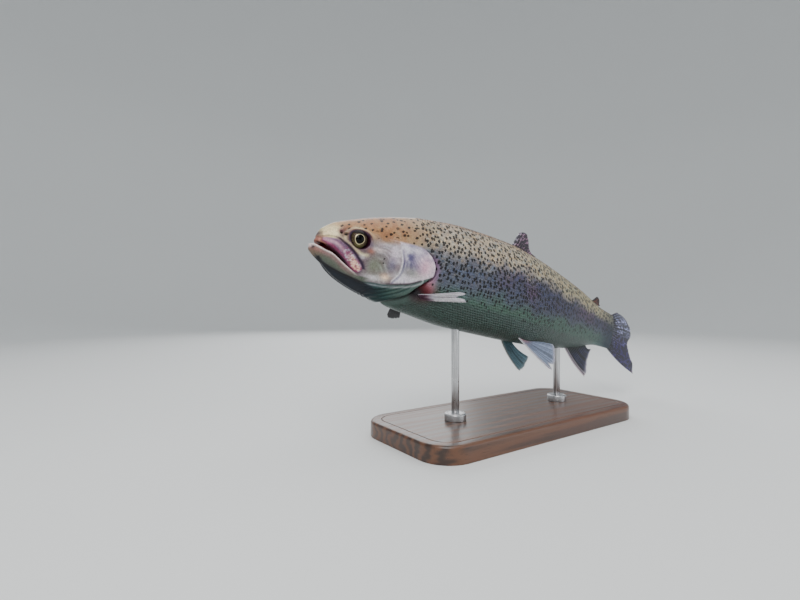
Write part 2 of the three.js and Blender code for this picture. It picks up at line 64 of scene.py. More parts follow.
class Side(Enum):
    """A side of the fish: its left, where y is below 0, and its right."""

    LEFT = 1
    RIGHT = -1


# ---- Small sums that the shapes are made of ----


def ramp(value: np.ndarray, low: float, high: float) -> np.ndarray:
    """Rise smoothly from 0 at low to 1 at high."""
    share = np.clip((value - low) / (high - low), 0, 1)
    return share * share * (3 - 2 * share)


def bump(value: np.ndarray, centre: float, spread: float) -> np.ndarray:
    """Give a soft bump of height 1 round a centre."""
    return np.exp(-(((value - centre) / spread) ** 2))


def spot(x: np.ndarray, z: np.ndarray, at: tuple[float, float], wide: float, tall: float) -> np.ndarray:
    """Give a soft oval patch of height 1 round a place on the side."""
    return np.exp(-(((x - at[0]) / wide) ** 2) - ((z - at[1]) / tall) ** 2)


def clouds(x: np.ndarray, z: np.ndarray, size: float, draw: int) -> np.ndarray:
    """Make an even cloudy pattern over the side view.

    Args:
        x: Stations.
        z: Heights.
        size: The spacing of the clouds.
        draw: Which pattern.

    Returns:
        0 to 1 at each place.
    """
    table = np.random.default_rng([SEED, draw]).random((CLOUD_TABLE, CLOUD_TABLE))
    u, v = x / size, z / size
    i, j = np.floor(u).astype(int), np.floor(v).astype(int)
    s, t = ramp(u - i, 0, 1), ramp(v - j, 0, 1)
    read = lambda a, b: table[(i + a) % CLOUD_TABLE, (j + b) % CLOUD_TABLE]
    return (read(0, 0) * (1 - t) + read(0, 1) * t) * (1 - s) + (read(1, 0) * (1 - t) + read(1, 1) * t) * s


def through(points: Points, steps: int = 8) -> np.ndarray:
    """Draw a smooth curve through points.

    Args:
        points: Pairs of station and height.
        steps: How many steps the curve takes between two points.

    Returns:
        The points of the curve, one a row.
    """
    known = np.array(points, float)
    padded = np.vstack([2 * known[0] - known[1], known, 2 * known[-1] - known[-2]])
    share = np.arange(steps)[:, None] / steps
    spans = []
    for a, b, c, d in zip(padded, padded[1:], padded[2:], padded[3:]):
        cubic = (3 * b - a - 3 * c + d) * share**3
        spans.append(0.5 * (cubic + (2 * a - 5 * b + 4 * c - d) * share**2 + (c - a) * share + 2 * b))
    return np.vstack([*spans, known[-1:]])


def beside(x: np.ndarray, z: np.ndarray, line: np.ndarray) -> np.ndarray:
    """Measure how far each point is to one side of a line.

    Args:
        x: The stations of the points.
        z: Their heights.
        line: The line's points, one a row.

    Returns:
        The distances, above 0 on the left of the line as it runs.
    """
    nearest = np.full(x.shape, 1e9)
    side = np.ones(x.shape)
    for (x0, z0), (x1, z1) in zip(line[:-1], line[1:]):
        dx, dz = x1 - x0, z1 - z0
        share = np.clip(((x - x0) * dx + (z - z0) * dz) / (dx * dx + dz * dz), 0, 1)
        ox, oz = x - x0 - share * dx, z - z0 - share * dz
        distance = np.hypot(ox, oz)
        nearer = distance < nearest
        nearest = np.where(nearer, distance, nearest)
        side = np.where(nearer, np.where(dx * oz - dz * ox < 0, -1.0, 1.0), side)
    return nearest * side


def within(x: np.ndarray, z: np.ndarray, outline: np.ndarray) -> np.ndarray:
    """Measure how deep each point is inside a closed outline, below 0 outside it."""
    closed = np.vstack([outline, outline[:1]])
    odd = np.zeros(x.shape, bool)
    for (x0, z0), (x1, z1) in zip(closed[:-1], closed[1:]):
        if z0 != z1:
            crosses = (z0 > z) != (z1 > z)
            odd ^= crosses & (x < x0 + (z - z0) * (x1 - x0) / (z1 - z0))
    return np.where(odd, 1, -1) * np.abs(beside(x, z, closed))


def unit(vectors: np.ndarray) -> np.ndarray:
    """Scale vectors to a length of 1."""
    return vectors / np.maximum(np.linalg.norm(vectors, axis=-1, keepdims=True), 1e-12)


def linear(colour: np.ndarray) -> np.ndarray:
    """Turn screen colours of 0 to 255 into the linear ones that the shaders take."""
    share = np.clip(np.asarray(colour, float) / 255, 0, 1)
    return np.where(share <= 0.04045, share / 12.92, ((share + 0.055) / 1.055) ** 2.4)


def rgba(colour: Colour) -> tuple[float, float, float, float]:
    """Give a screen colour of 0 to 255 as a shader socket takes it."""
    return (*(float(c) for c in linear(np.array(colour))), 1.0)


# ---- The form of the body ----


@dataclass(frozen=True)
class BodyForm:
    """The body's outline: half sizes of its cross-section at stations along it, in millimetres."""

    stations: tuple[tuple[float, float, float, float], ...] = (
        (0, 5.6, 9.4, 5.2),
        (10, 13.6, 18, 10.3),
        (29, 22.5, 30, 16.5),
        (52, 32, 37, 22),
        (78, 40.5, 41.5, 25.2),
        (104, 47.3, 45, 27.2),
        (156, 54.6, 49.6, 30.6),
        (218, 56.6, 49.4, 32),
        (260, 53.6, 48.4, 30),
        (312, 46, 45.4, 24.3),
        (364, 36.8, 36.4, 16.2),
        (416, 25, 25.2, 8.6),
        (450, 22, 24.4, 4.2),
    )
    jaw_keel: float = 1.3
    keel_from: float = 40
    keel_to: float = 130
    snout_back: float = 5
    snout_back_ends: float = 24

    def curve(self, column: int, at: np.ndarray) -> np.ndarray:
        """Give a half size at stations, without overshoot: 1 is the top, 2 the bottom, 3 the side."""
        table = np.array(self.stations)
        x, y = table[:, 0], table[:, column]
        slope = np.diff(y) / np.diff(x)
        before, after = slope[:-1], slope[1:]
        same = before * after > 0
        inner = np.where(same, 2 * before * after / np.where(same, before + after, 1), 0)
        tangent = np.concatenate([[slope[0] * 1.5], inner, [slope[-1]]])
        at = np.clip(at, x[0], x[-1])
        i = np.clip(np.searchsorted(x, at, side="right") - 1, 0, len(x) - 2)
        span = x[i + 1] - x[i]
        t = (at - x[i]) / span
        start = (1 + 2 * t) * (1 - t) ** 2 * y[i] + t * (1 - t) ** 2 * span * tangent[i]
        return start + t * t * (3 - 2 * t) * y[i + 1] + t * t * (t - 1) * span * tangent[i + 1]

    def keel(self, at: np.ndarray) -> np.ndarray:
        """Give the power that narrows the lower half of the head towards the throat."""
        return self.jaw_keel + (1 - self.jaw_keel) * ramp(at, self.keel_from, self.keel_to)

    def section(self, at: np.ndarray, angle: np.ndarray) -> tuple[np.ndarray, np.ndarray]:
        """Give y and z of the body's surface; angle 0 is the left flank and a quarter turn the back."""
        across, up = np.cos(angle), np.sin(angle)
        power = np.where(up < 0, self.keel(at), 1)
        half = self.curve(3, at) * np.sign(across) * np.abs(across) ** power
        return -half, np.where(up < 0, self.curve(2, at), self.curve(1, at)) * up

    def flank(self, at: np.ndarray, height: np.ndarray) -> np.ndarray:
        """Give how far out the flank is at a station and height."""
        reach = np.where(height < 0, self.curve(2, at), self.curve(1, at))
        up = np.clip(height / reach, -1, 1)
        return self.curve(3, at) * np.sqrt(1 - up * up) ** np.where(up < 0, self.keel(at), 1)

    def set_back(self, x: np.ndarray, z: np.ndarray) -> np.ndarray:
        """Set the upper half of the snout back from the lower jaw."""
        return x + self.snout_back * ramp(z, -6.5, -2) * (1 - ramp(x, 0, self.snout_back_ends))


@dataclass(frozen=True)
class Spine:
    """The curve that bends the straight fish, nose up over the stand."""

    total: float = 520
    step: float = 4
    nose_up: float = 11.7
    nose_up_gain: float = 2.4
    turn: float = -1.2
    turn_gain: float = 3.6
    over_base: float = 238
    snout_height: float = 189.5

    def along(self) -> tuple[np.ndarray, np.ndarray]:
        """Walk down the spine.

        Returns:
            The places at each step, and there the three directions back, right and up.
        """
        share = np.arange(0, self.total + 40 + self.step, self.step) / self.total
        turn = np.radians(self.turn + self.turn_gain * share**2)
        drop = np.radians(self.nose_up + self.nose_up_gain * share**2)
        flat = np.zeros_like(share)
        back = np.stack([np.cos(turn) * np.cos(drop), np.sin(turn) * np.cos(drop), -np.sin(drop)], 1)
        right = np.stack([-np.sin(turn), np.cos(turn), flat], 1)
        up = np.cross(back, right)
        places = np.vstack([np.zeros((1, 3)), np.cumsum(back[:-1] * self.step, 0)])
        return places, np.stack([back, right, up], 1)

    def bend(self, points: np.ndarray) -> np.ndarray:
        """Bend straight points and set them in the frame.

        Args:
            points: Points of the straight fish in millimetres, one a row.

        Returns:
            The same points in the frame, in metres.
        """
        places, ways = self.along()
        x = np.clip(points[:, 0], 0, self.total + 30)
        i = np.floor(x / self.step).astype(int)
        t = (x / self.step - i)[:, None]
        place = places[i] * (1 - t) + places[i + 1] * t
        back, right, up = (unit(ways[i, k] * (1 - t) + ways[i + 1, k] * t) for k in range(3))
        place = place + back * (points[:, :1] - x[:, None]) + right * points[:, 1:2] + up * points[:, 2:3]
        over = int(self.over_base / self.step)
        part = self.over_base / self.step - over
        middle = places[over] * (1 - part) + places[over + 1] * part
        return (place - [middle[0], middle[1], -self.snout_height]) * MM


BODY = BodyForm()
SPINE = Spine()


# ---- Meshes ----


def grid_faces(rows: int, columns: int, wrap: bool) -> np.ndarray:
    """Give the four-cornered faces between rows of points."""
    row, column = np.meshgrid(np.arange(rows - 1), np.arange(columns if wrap else columns - 1), indexing="ij")
    nxt = (column + 1) % columns
    a, b = row * columns + column, row * columns + nxt
    return np.stack([a, a + columns, b + columns, b], -1).reshape(-1, 4)


def mesh_object(name: str, points: np.ndarray, groups: Sequence[np.ndarray]) -> bpy.types.Object:
    """Make a smooth-shaded mesh object.

    Args:
        name: The piece's name.
        points: Its points in metres, one a row.
        groups: Its faces, as arrays that each hold faces of one number of corners.

    Returns:
        The new object, linked to the scene.
    """
    mesh = bpy.data.meshes.new(name)
    corners = np.concatenate([g.ravel() for g in groups]).astype(np.int32)
    sizes = np.concatenate([np.full(len(g), g.shape[1]) for g in groups]).astype(np.int32)
    starts = np.concatenate([[0], np.cumsum(sizes)[:-1]]).astype(np.int32)
    mesh.vertices.add(len(points))
    mesh.vertices.foreach_set("co", points.astype(np.float32).ravel())
    mesh.loops.add(len(corners))
    mesh.loops.foreach_set("vertex_index", corners)
    mesh.polygons.add(len(sizes))
    mesh.polygons.foreach_set("loop_start", starts)
    mesh.polygons.foreach_set("loop_total", sizes)
    mesh.update(calc_edges=True)
    mesh.polygons.foreach_set("use_smooth", np.ones(len(sizes), bool))
    piece = bpy.data.objects.new(name, mesh)
    bpy.context.scene.collection.objects.link(piece)
    return piece


def colour_points(piece: bpy.types.Object, tone: np.ndarray, chart: np.ndarray, marks: np.ndarray) -> None:
    """Write what the finishes read at each point.

    Args:
        piece: The piece.
        tone: Its colour, linear, one row a point.
        chart: Its place on the flattened surface, in millimetres, one row a point.
        marks: Three strengths, one row a point. On the skin they are the body's spots, the head's spots and
            the gloss; on a fin, the spots, the ray and the gloss.
    """
    attributes = piece.data.attributes
    opaque = np.column_stack([tone, np.ones(len(tone))])
    for name, kind, key, values in (
        ("tone", "FLOAT_COLOR", "color", opaque),
        ("chart", "FLOAT_VECTOR", "vector", chart),
        ("marks", "FLOAT_VECTOR", "vector", marks),
    ):
        attributes.new(name, kind, "POINT").data.foreach_set(key, values.astype(np.float32).ravel())


def settle(piece: bpy.types.Object, slot: str, material: bpy.types.Material, *nodes: str) -> None:
    """Dress a finished piece and hand it to the frame.

    Args:
        piece: The piece.
        slot: The record's material slot; not used.
        material: Its finish.
        nodes: The CAD nodes that it stands for.
    """
    piece.data.materials.clear()
    piece.data.materials.append(material)
    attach(piece, "root")
    if nodes:
        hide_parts(*nodes)
    log.info("%s: %d faces", piece.name, len(piece.data.polygons))


# ---- Finishes ----


class Nodes:
    """A material under construction, with a short call for each kind of node that it uses."""

    def __init__(self, name: str) -> None:
        """Start an empty material with its shader and output."""
        self.material = bpy.data.materials.new(name)
        self.material.use_nodes = True
        self.tree = self.material.node_tree
        self.tree.nodes.clear()
        self.shader = self.tree.nodes.new("ShaderNodeBsdfPrincipled")
        output = self.tree.nodes.new("ShaderNodeOutputMaterial")
        self.tree.links.new(self.shader.outputs[0], output.inputs["Surface"])

    def put(self, socket: bpy.types.NodeSocket, value: object) -> None:
        """Set a socket to a value or link it to another socket."""
        if isinstance(value, bpy.types.NodeSocket):
            self.tree.links.new(value, socket)
        elif value is not None:
            socket.default_value = value

    def set(self, **values: object) -> None:
        """Set the shader's sockets, named in lower case with underscores."""
        for name, value in values.items():
            self.put(self.shader.inputs[name.replace("_", " ").title().replace("Ior", "IOR")], value)

    def attribute(self, name: str, kind: str = "Vector") -> bpy.types.NodeSocket:
        """Read an attribute of the mesh."""
        node = self.tree.nodes.new("ShaderNodeAttribute")
        node.attribute_name = name
        return node.outputs[kind]

    def places(self) -> bpy.types.NodeSocket:
        """Read the place in the frame, in metres."""
        return self.tree.nodes.new("ShaderNodeTexCoord").outputs["Object"]

    def parts(self, vector: bpy.types.NodeSocket) -> list[bpy.types.NodeSocket]:
        """Part a vector into its three numbers."""
        node = self.tree.nodes.new("ShaderNodeSeparateXYZ")
        self.put(node.inputs[0], vector)
        return list(node.outputs)

    def scaled(self, vector: bpy.types.NodeSocket, by: tuple, turn: float = 0) -> bpy.types.NodeSocket:
        """Scale a pattern's coordinates and turn them about Z."""
        node = self.tree.nodes.new("ShaderNodeMapping")
        self.put(node.inputs["Vector"], vector)
        node.inputs["Scale"].default_value = by
        node.inputs["Rotation"].default_value = (0, 0, turn)
        return node.outputs[0]

    def noise(self, vector: bpy.types.NodeSocket, scale: float, detail: float = 3) -> bpy.types.NodeSocket:
        """Make a cloudy pattern of 0 to 1."""
        node = self.tree.nodes.new("ShaderNodeTexNoise")
        self.put(node.inputs["Vector"], vector)
        node.inputs["Scale"].default_value = scale
        node.inputs["Detail"].default_value = detail
        return node.outputs[0]

    def cells(self, vector: bpy.types.NodeSocket, randomness: float) -> tuple:
        """Scatter points on a plane; give the distance to the nearest and its own random number."""
        node = self.tree.nodes.new("ShaderNodeTexVoronoi")
        node.voronoi_dimensions = "2D"
        self.put(node.inputs["Vector"], vector)
        node.inputs["Scale"].default_value = 1
        node.inputs["Randomness"].default_value = randomness
        return node.outputs["Distance"], self.parts(node.outputs["Color"])[0]

    def sum(self, kind: str, a: object, b: object = None, c: object = None) -> bpy.types.NodeSocket:
        """Work out a sum of up to three numbers, kind as Blender's Math node names it."""
        node = self.tree.nodes.new("ShaderNodeMath")
        node.operation = kind
        for socket, value in zip(node.inputs, (a, b, c)):
            self.put(socket, value)
        return node.outputs[0]

    def step(
        self, value: object, low: object, high: object, to_low: float = 0, to_high: float = 1
    ) -> bpy.types.NodeSocket:
        """Rise smoothly from one number to another between two limits."""
        node = self.tree.nodes.new("ShaderNodeMapRange")
        node.interpolation_type = "SMOOTHSTEP"
        for socket, number in zip(node.inputs, (value, low, high, to_low, to_high)):
            self.put(socket, number)
        return node.outputs[0]

    def mix(self, share: object, a: object, b: object, blend: str = "MIX") -> bpy.types.NodeSocket:
        """Mix two colours."""
        node = self.tree.nodes.new("ShaderNodeMix")
        node.data_type = "RGBA"
        node.blend_type = blend
        self.put(node.inputs[0], share)
        self.put(node.inputs[6], a)
        self.put(node.inputs[7], b)
        return node.outputs[2]

    def shaded(self, tone: object, brightness: bpy.types.NodeSocket) -> bpy.types.NodeSocket:
        """Make a colour brighter or darker."""
        grey = self.tree.nodes.new("ShaderNodeCombineXYZ")
        for socket in grey.inputs:
            self.put(socket, brightness)
        return self.mix(1.0, tone, grey.outputs[0], "MULTIPLY")

    def bumps(self, height: object, strength: float, distance: float) -> None:
        """Give the shader a relief, its depth in metres."""
        node = self.tree.nodes.new("ShaderNodeBump")
        node.inputs["Strength"].default_value = strength
        node.inputs["Distance"].default_value = distance
        self.put(node.inputs["Height"], height)
        self.put(self.shader.inputs["Normal"], node.outputs[0])


@dataclass(frozen=True)
class SkinFinish:
    """Wet-looking skin: painted tones, black spots in two sizes, a mottle and a soft gloss."""

    name: str
    roughness: float = 0.38
    coat: float = 0.16
    spot_cell: tuple[float, float] = (4.3, 5.4)
    head_cell: tuple[float, float] = (6.6, 6.0)
    ink: Colour = (9, 7, 11)
    mottle: float = 0.3
    grain: float = 0.315
    scatter: float = 0.82
    soft: float = 0.045

    def spots(self, nodes: Nodes, chart: object, strength: object, cell: tuple, size: tuple) -> object:
        """Scatter uneven spots.

        Args:
            nodes: The material.
            chart: The flattened surface's coordinates, in millimetres.
            strength: How full the spots are, 0 for none.
            cell: The spacing of the spots along and across the body.
            size: The least and greatest radius, as shares of the spacing.

        Returns:
            1 in a spot and 0 outside it.
        """
        distance, chance = nodes.cells(nodes.scaled(chart, (1 / cell[0], 1 / cell[1], 0)), self.scatter)
        wobble = nodes.noise(nodes.scaled(chart, (1, 0.7, 0)), 0.9, 2)
        reach = nodes.sum("MULTIPLY_ADD", chance, size[1] - size[0], size[0])
        reach = nodes.sum("MULTIPLY", reach, nodes.step(strength, 0, 0.75, 0.5, 1))
        reach = nodes.sum("MULTIPLY", reach, nodes.step(wobble, 0.3, 0.7, 0.78, 1.22))
        inner = nodes.sum("SUBTRACT", reach, self.soft)
        outer = nodes.sum("ADD", reach, self.soft)
        there = nodes.step(nodes.sum("SUBTRACT", strength, chance), -0.02, 0.06)
        return nodes.sum("MULTIPLY", nodes.step(distance, inner, outer, 1, 0), there)

    def make(self) -> bpy.types.Material:
        """Build the material."""
        nodes = Nodes(self.name)
        chart = nodes.attribute("chart")
        body, head, gloss = nodes.parts(nodes.attribute("marks"))
        tone = nodes.attribute("tone", "Color")
        flesh = nodes.scaled(nodes.places(), (1000, 1000, 1000))
        cloud = nodes.noise(flesh, 0.16, 4)
        fine = nodes.noise(flesh, 0.8, 4)
        warm = nodes.mix(nodes.step(cloud, 0.35, 0.7), tone, rgba((176, 140, 150)), "SOFT_LIGHT")
        tone = nodes.mix(self.mottle, tone, warm)
        tone = nodes.shaded(tone, nodes.step(fine, 0.3, 0.7, 0.8, 1.18))
        small = self.spots(nodes, chart, body, self.spot_cell, (0.25, 0.38))
        large = self.spots(nodes, chart, head, self.head_cell, (0.16, 0.27))
        inked = nodes.sum("MAXIMUM", small, large)
        tone = nodes.mix(nodes.sum("MULTIPLY", inked, 0.93), tone, rgba(self.ink))
        rough = nodes.step(fine, 0.3, 0.75, self.roughness - 0.06, self.roughness + 0.12)
        silver = nodes.sum("MULTIPLY", gloss, nodes.step(inked, 0, 1, 1, 0.2))
        nodes.set(base_color=tone, roughness=rough, metallic=silver)
        nodes.set(coat_weight=self.coat, coat_roughness=0.2, specular_ior_level=0.25)
        nodes.set(subsurface_weight=0.06, subsurface_radius=(0.004, 0.002, 0.0015), subsurface_scale=0.4)
        nodes.bumps(nodes.noise(flesh, 1.5, 3), self.grain, 0.0004)
        return nodes.material


@dataclass(frozen=True)
class FinFinish:
    """Thin fins: bony rays with joints, a paler web and black marks."""

    name: str
    ink: Colour = (14, 8, 24)
    cell: tuple[float, float] = (3.4, 4.4)
    roughness: float = 0.42

    def make(self) -> bpy.types.Material:
        """Build the material."""
        nodes = Nodes(self.name)
        chart = nodes.attribute("chart")
        strength, ray, gloss = nodes.parts(nodes.attribute("marks"))
        tone = nodes.attribute("tone", "Color")
        _, out, _ = nodes.parts(chart)
        joints = nodes.sum("PINGPONG", out, 0.55)
        joint = nodes.sum("MULTIPLY", nodes.step(joints, 0.0, 0.2, 1, 0), ray)
        cloud = nodes.noise(chart, 0.35, 4)
        web = nodes.mix(0.85, tone, rgba((84, 80, 104)), "MULTIPLY")
        tone = nodes.mix(nodes.step(ray, 0.1, 0.6), web, tone)
        tone = nodes.shaded(tone, nodes.step(cloud, 0.3, 0.7, 0.82, 1.15))
        distance, chance = nodes.cells(nodes.scaled(chart, (1 / self.cell[0], 1 / self.cell[1], 0)), 0.8)
        reach = nodes.sum("MULTIPLY", nodes.sum("MULTIPLY_ADD", chance, 0.28, 0.2), strength)
        inner, outer = nodes.sum("SUBTRACT", reach, 0.06), nodes.sum("ADD", reach, 0.06)
        inked = nodes.step(distance, inner, outer, 0.92, 0)
        tone = nodes.mix(inked, tone, rgba(self.ink))
        nodes.set(base_color=tone, roughness=self.roughness, metallic=gloss)
        nodes.set(coat_weight=0.15, coat_roughness=0.2)
        nodes.set(subsurface_weight=0.15, subsurface_radius=(0.003, 0.002, 0.0015), subsurface_scale=0.5)
        relief = nodes.sum("SUBTRACT", nodes.sum("MULTIPLY", ray, 0.6), nodes.sum("MULTIPLY", joint, 0.5))
        nodes.bumps(relief, 0.35, 0.0003)
        return nodes.material


@dataclass(frozen=True)
class EyeFinish:
    """A fish's eye: a black pupil with a thin gold ring, in a dark brassy iris; its top is painted dark as
    the brow's shadow.
    """

    name: str
    pupil: Colour = (3, 3, 4)
    gold: Colour = (226, 214, 168)
    iris: Colour = (58, 46, 44)
    # rim: near black, laid round the eyeball's edge and painted over the top of the iris as the brow's shadow
    rim: Colour = (16, 9, 13)

    def make(self) -> bpy.types.Material:
        """Build the material; the chart attribute gives the place round the pupil, its edge at 1."""
        nodes = Nodes(self.name)
        chart = nodes.attribute("chart")
        _, up, radius = nodes.parts(chart)
        flecks = nodes.noise(nodes.scaled(chart, (1, 1, 0)), 3.2, 5)
        streak = nodes.noise(nodes.scaled(chart, (2.2, 2.2, 0)), 4.5, 3)
        iris = nodes.mix(nodes.step(flecks, 0.42, 0.7), rgba(self.iris), rgba((104, 92, 58)))
        low = nodes.step(up, -1.9, -0.9, 1, 0)
        iris = nodes.mix(nodes.sum("MULTIPLY", low, 0.7), iris, rgba((124, 122, 74)))
        # Painted shadow: the iris darkened above the pupil, under the brow.
        iris = nodes.mix(nodes.step(up, 0.75, 1.35, 0, 0.92), iris, rgba(self.rim))
        ring = nodes.sum("MULTIPLY", nodes.step(radius, 1.0, 1.05), nodes.step(radius, 1.07, 1.17, 1, 0))
        ring = nodes.sum("MULTIPLY", ring, nodes.step(streak, 0.2, 0.5, 0.6, 1))
        tone = nodes.mix(ring, iris, rgba(self.gold))
        tone = nodes.mix(nodes.step(radius, 1.82, 2.05), tone, rgba(self.rim))
        tone = nodes.mix(nodes.step(radius, 0.97, 1.01, 1, 0), tone, rgba(self.pupil))
        metal = nodes.step(radius, 1.0, 1.05, 0, 0.45)
        nodes.set(base_color=tone, roughness=nodes.step(radius, 0.98, 1.04, 0.05, 0.3), metallic=metal)
        nodes.set(coat_weight=0.05, coat_roughness=0.03, specular_ior_level=0.1)
        nodes.bumps(flecks, 0.15, 0.0002)
        return nodes.material


@dataclass(frozen=True)
class WoodFinish:
    """Oiled walnut with wavering grain along the base and open pores."""

    name: str
    dark: Colour = (52, 34, 25)
    light: Colour = (100, 64, 42)

    def make(self) -> bpy.types.Material:
        """Build the material."""
        nodes = Nodes(self.name)
        places = nodes.places()
        bent = nodes.noise(nodes.scaled(places, (5, 16, 16)), 1, 3)
        node = nodes.tree.nodes.new("ShaderNodeTexWave")
        node.wave_type = "BANDS"
        node.bands_direction = "Y"
        nodes.put(node.inputs["Vector"], nodes.scaled(places, (1.5, 20, 44), 0.05))
        node.inputs["Scale"].default_value = 1.3
        node.inputs["Distortion"].default_value = 11
        node.inputs["Detail"].default_value = 3
        node.inputs["Detail Scale"].default_value = 1.1
        grain = nodes.sum("MULTIPLY_ADD", node.outputs["Fac"], 0.55, nodes.sum("MULTIPLY", bent, 0.45))
        pores = nodes.noise(nodes.scaled(places, (60, 1400, 900)), 1, 2)
        tone = nodes.mix(nodes.step(grain, 0.2, 0.85), rgba(self.dark), rgba(self.light))
        tone = nodes.mix(nodes.step(pores, 0.62, 0.72, 0, 0.6), tone, rgba((30, 17, 10)))
        tone = nodes.mix(nodes.step(nodes.noise(places, 9, 2), 0.35, 0.7, 0, 0.35), tone, rgba((96, 52, 34)))
        nodes.set(base_color=tone, roughness=nodes.step(grain, 0, 1, 0.3, 0.46))
        nodes.set(coat_weight=0.35, coat_roughness=0.22)
        nodes.bumps(nodes.sum("SUBTRACT", grain, nodes.sum("MULTIPLY", pores, 1.4)), 0.12, 0.0006)
        return nodes.material


@dataclass(frozen=True)
class SteelFinish:
    """Stainless steel: brushed along the rods, turned round the collars, with faint smudges."""

    name: str
    strokes: tuple[float, float, float]

    def make(self) -> bpy.types.Material:
        """Build the material."""
        nodes = Nodes(self.name)
        places = nodes.places()
        brushed = nodes.noise(nodes.scaled(places, self.strokes), 1, 3)
        smudge = nodes.noise(places, 60, 3)
        tone = nodes.mix(nodes.step(brushed, 0.3, 0.7), rgba((168, 168, 170)), rgba((214, 214, 216)))
        nodes.set(base_color=tone, metallic=1.0, roughness=nodes.step(smudge, 0.3, 0.7, 0.24, 0.38))
        nodes.bumps(brushed, 0.12, 0.0001)
        return nodes.material


@dataclass(frozen=True)
class RoomFinish:
    """The pale matt floor and wall."""

    name: str = "pale_room"
    tone: Colour = (226, 228, 228)

    def make(self) -> bpy.types.Material:
        """Build the material."""
        nodes = Nodes(self.name)
        cloud = nodes.noise(nodes.places(), 3, 2)
        pale = nodes.mix(nodes.step(cloud, 0.2, 0.8, 0, 0.06), rgba(self.tone), rgba((214, 216, 218)))
        nodes.set(base_color=pale, roughness=0.75, specular_ior_level=0.2)
        return nodes.material


# ---- The lines of the head, seen from its left side: station and height above the spine ----


@dataclass(frozen=True)
class HeadLines:
    """Where the features of the head lie, the same on both sides."""

    eye: tuple[float, float] = (37.5, 6)
    lid: float = 0.24
    mouth: Points = ((-12, -2.6), (0, -3.4), (12, -6.6), (19, -9.1), (30, -16.2), (43, -23))
    gape: float = 3.9
    mouth_corner: float = 40
    maxilla: Points = (
        (8, 0.6), (13, 1.6), (19.2, 1.6), (24.4, -0.7), (29.1, -3.4), (34.3, -7.3), (38.5, -11.3),
        (42.1, -14.7), (44.4, -18.6), (42.6, -21.3), (38.5, -21.3), (34.3, -18.8), (29.6, -14.8),
        (24.4, -11), (18.7, -7.4), (12.5, -4.6), (8, -2.2),
    )
    lacrimal: Points = ((11, 5.6), (17.2, 2.6), (25, 1.2), (32.8, -2.8), (40.6, -6.4), (46, -6))
    preopercle: Points = (
        (74, 9), (74.9, 6.6), (76.4, 1.8), (78, -3.2), (78.2, -8.6), (77.5, -15.1), (73.5, -21.5),
    )
    subopercle: Points = (
        (50, -26.4), (63.4, -25.3), (72.3, -24.4), (81.6, -22.5), (90.5, -20.1), (99.3, -15.7),
    )
    gill_top: Points = ((62, 8), (67.6, 11.9), (77.5, 13.2), (87.4, 13.8), (97.2, 13.4))
    gill_edge: Points = (
        (97.2, 13.4), (102.4, 11), (107.6, 7.1), (111.3, 1.3), (112.3, -4), (111.3, -9.8), (107.1, -14),
        (102.4, -19), (97.2, -24.2), (93.1, -29.1), (85.3, -34.3), (79, -37.6), (71, -41.5), (62, -44),
    )
    jaw_fold: Points = ((9, -15.5), (14.6, -19.7), (27, -24.1), (44.2, -27.7), (58, -30))
    chin: tuple[float, float] = (7.2, -8.9)
    chin_reach: tuple[float, float, float] = (6.6, 5.6, 4.3)
    gill_ray_step: float = 3.3
    nostrils: tuple[tuple[float, float, float], ...] = ((21.4, 7.8, 0.85), (25.3, 7.3, 1.15))


@dataclass
class SideView:
    """Distances of the skin's points to the lines of the head, worked out once."""

    x: np.ndarray
    y: np.ndarray
    z: np.ndarray
    lines: HeadLines = field(default_factory=HeadLines)

    def __post_init__(self) -> None:
        """Measure the points."""
        x, z, lines = self.x, self.z, self.lines
        above = np.maximum(z - lines.eye[1], 0)
        self.eye = np.hypot(x - lines.eye[0], z - lines.eye[1] + lines.lid * above)
        mouth = through(lines.mouth)
        self.over_mouth = z - np.interp(x, mouth[:, 0], mouth[:, 1])
        shut = ramp(x, 8, lines.mouth_corner)
        self.gape = lines.gape * (1 - shut) / 2 + 0.1
        self.maxilla = within(x, z, through(lines.maxilla, 4))
        self.lacrimal, self.preopercle, self.subopercle = (
            beside(x, z, through(line, 5)) for line in (lines.lacrimal, lines.preopercle, lines.subopercle)
        )
        self.gill_top, edge, self.fold = (
            beside(x, z, through(line, 5)) for line in (lines.gill_top, lines.gill_edge, lines.jaw_fold)
        )
        self.gill = -edge
        self.slot = 1 - ramp(np.abs(self.over_mouth), self.gape - 0.5, self.gape + 0.3)
        self.slot = self.slot * (1 - ramp(x, lines.mouth_corner - 6, lines.mouth_corner))


@dataclass
class SkinGrid:
    """The finished skin as rows of points round the straight body, with what its finish reads."""

    rows: np.ndarray
    points: np.ndarray
    normals: np.ndarray
    tone: np.ndarray
    chart: np.ndarray
    marks: np.ndarray

    def read(self, key: str, at: np.ndarray, around: np.ndarray) -> np.ndarray:
        """Read one of the grid's values between its points.

        Args:
            key: The name of the values.
            at: Stations.
            around: Shares of the way round, 0 at the belly, a half at the back.

        Returns:
            The values, one row a place.
        """
        values = getattr(self, key)
        columns = values.shape[1]
        row = np.interp(at, self.rows, np.arange(len(self.rows)))
        i = np.clip(np.floor(row).astype(int), 0, len(self.rows) - 2)
        s = (row - i)[:, None]
        column = (around % 1) * columns
        j = np.floor(column).astype(int) % columns
        t = (column - np.floor(column))[:, None]
        k = (j + 1) % columns
        near = values[i, j] * (1 - t) + values[i, k] * t
        return near * (1 - s) + (values[i + 1, j] * (1 - t) + values[i + 1, k] * t) * s


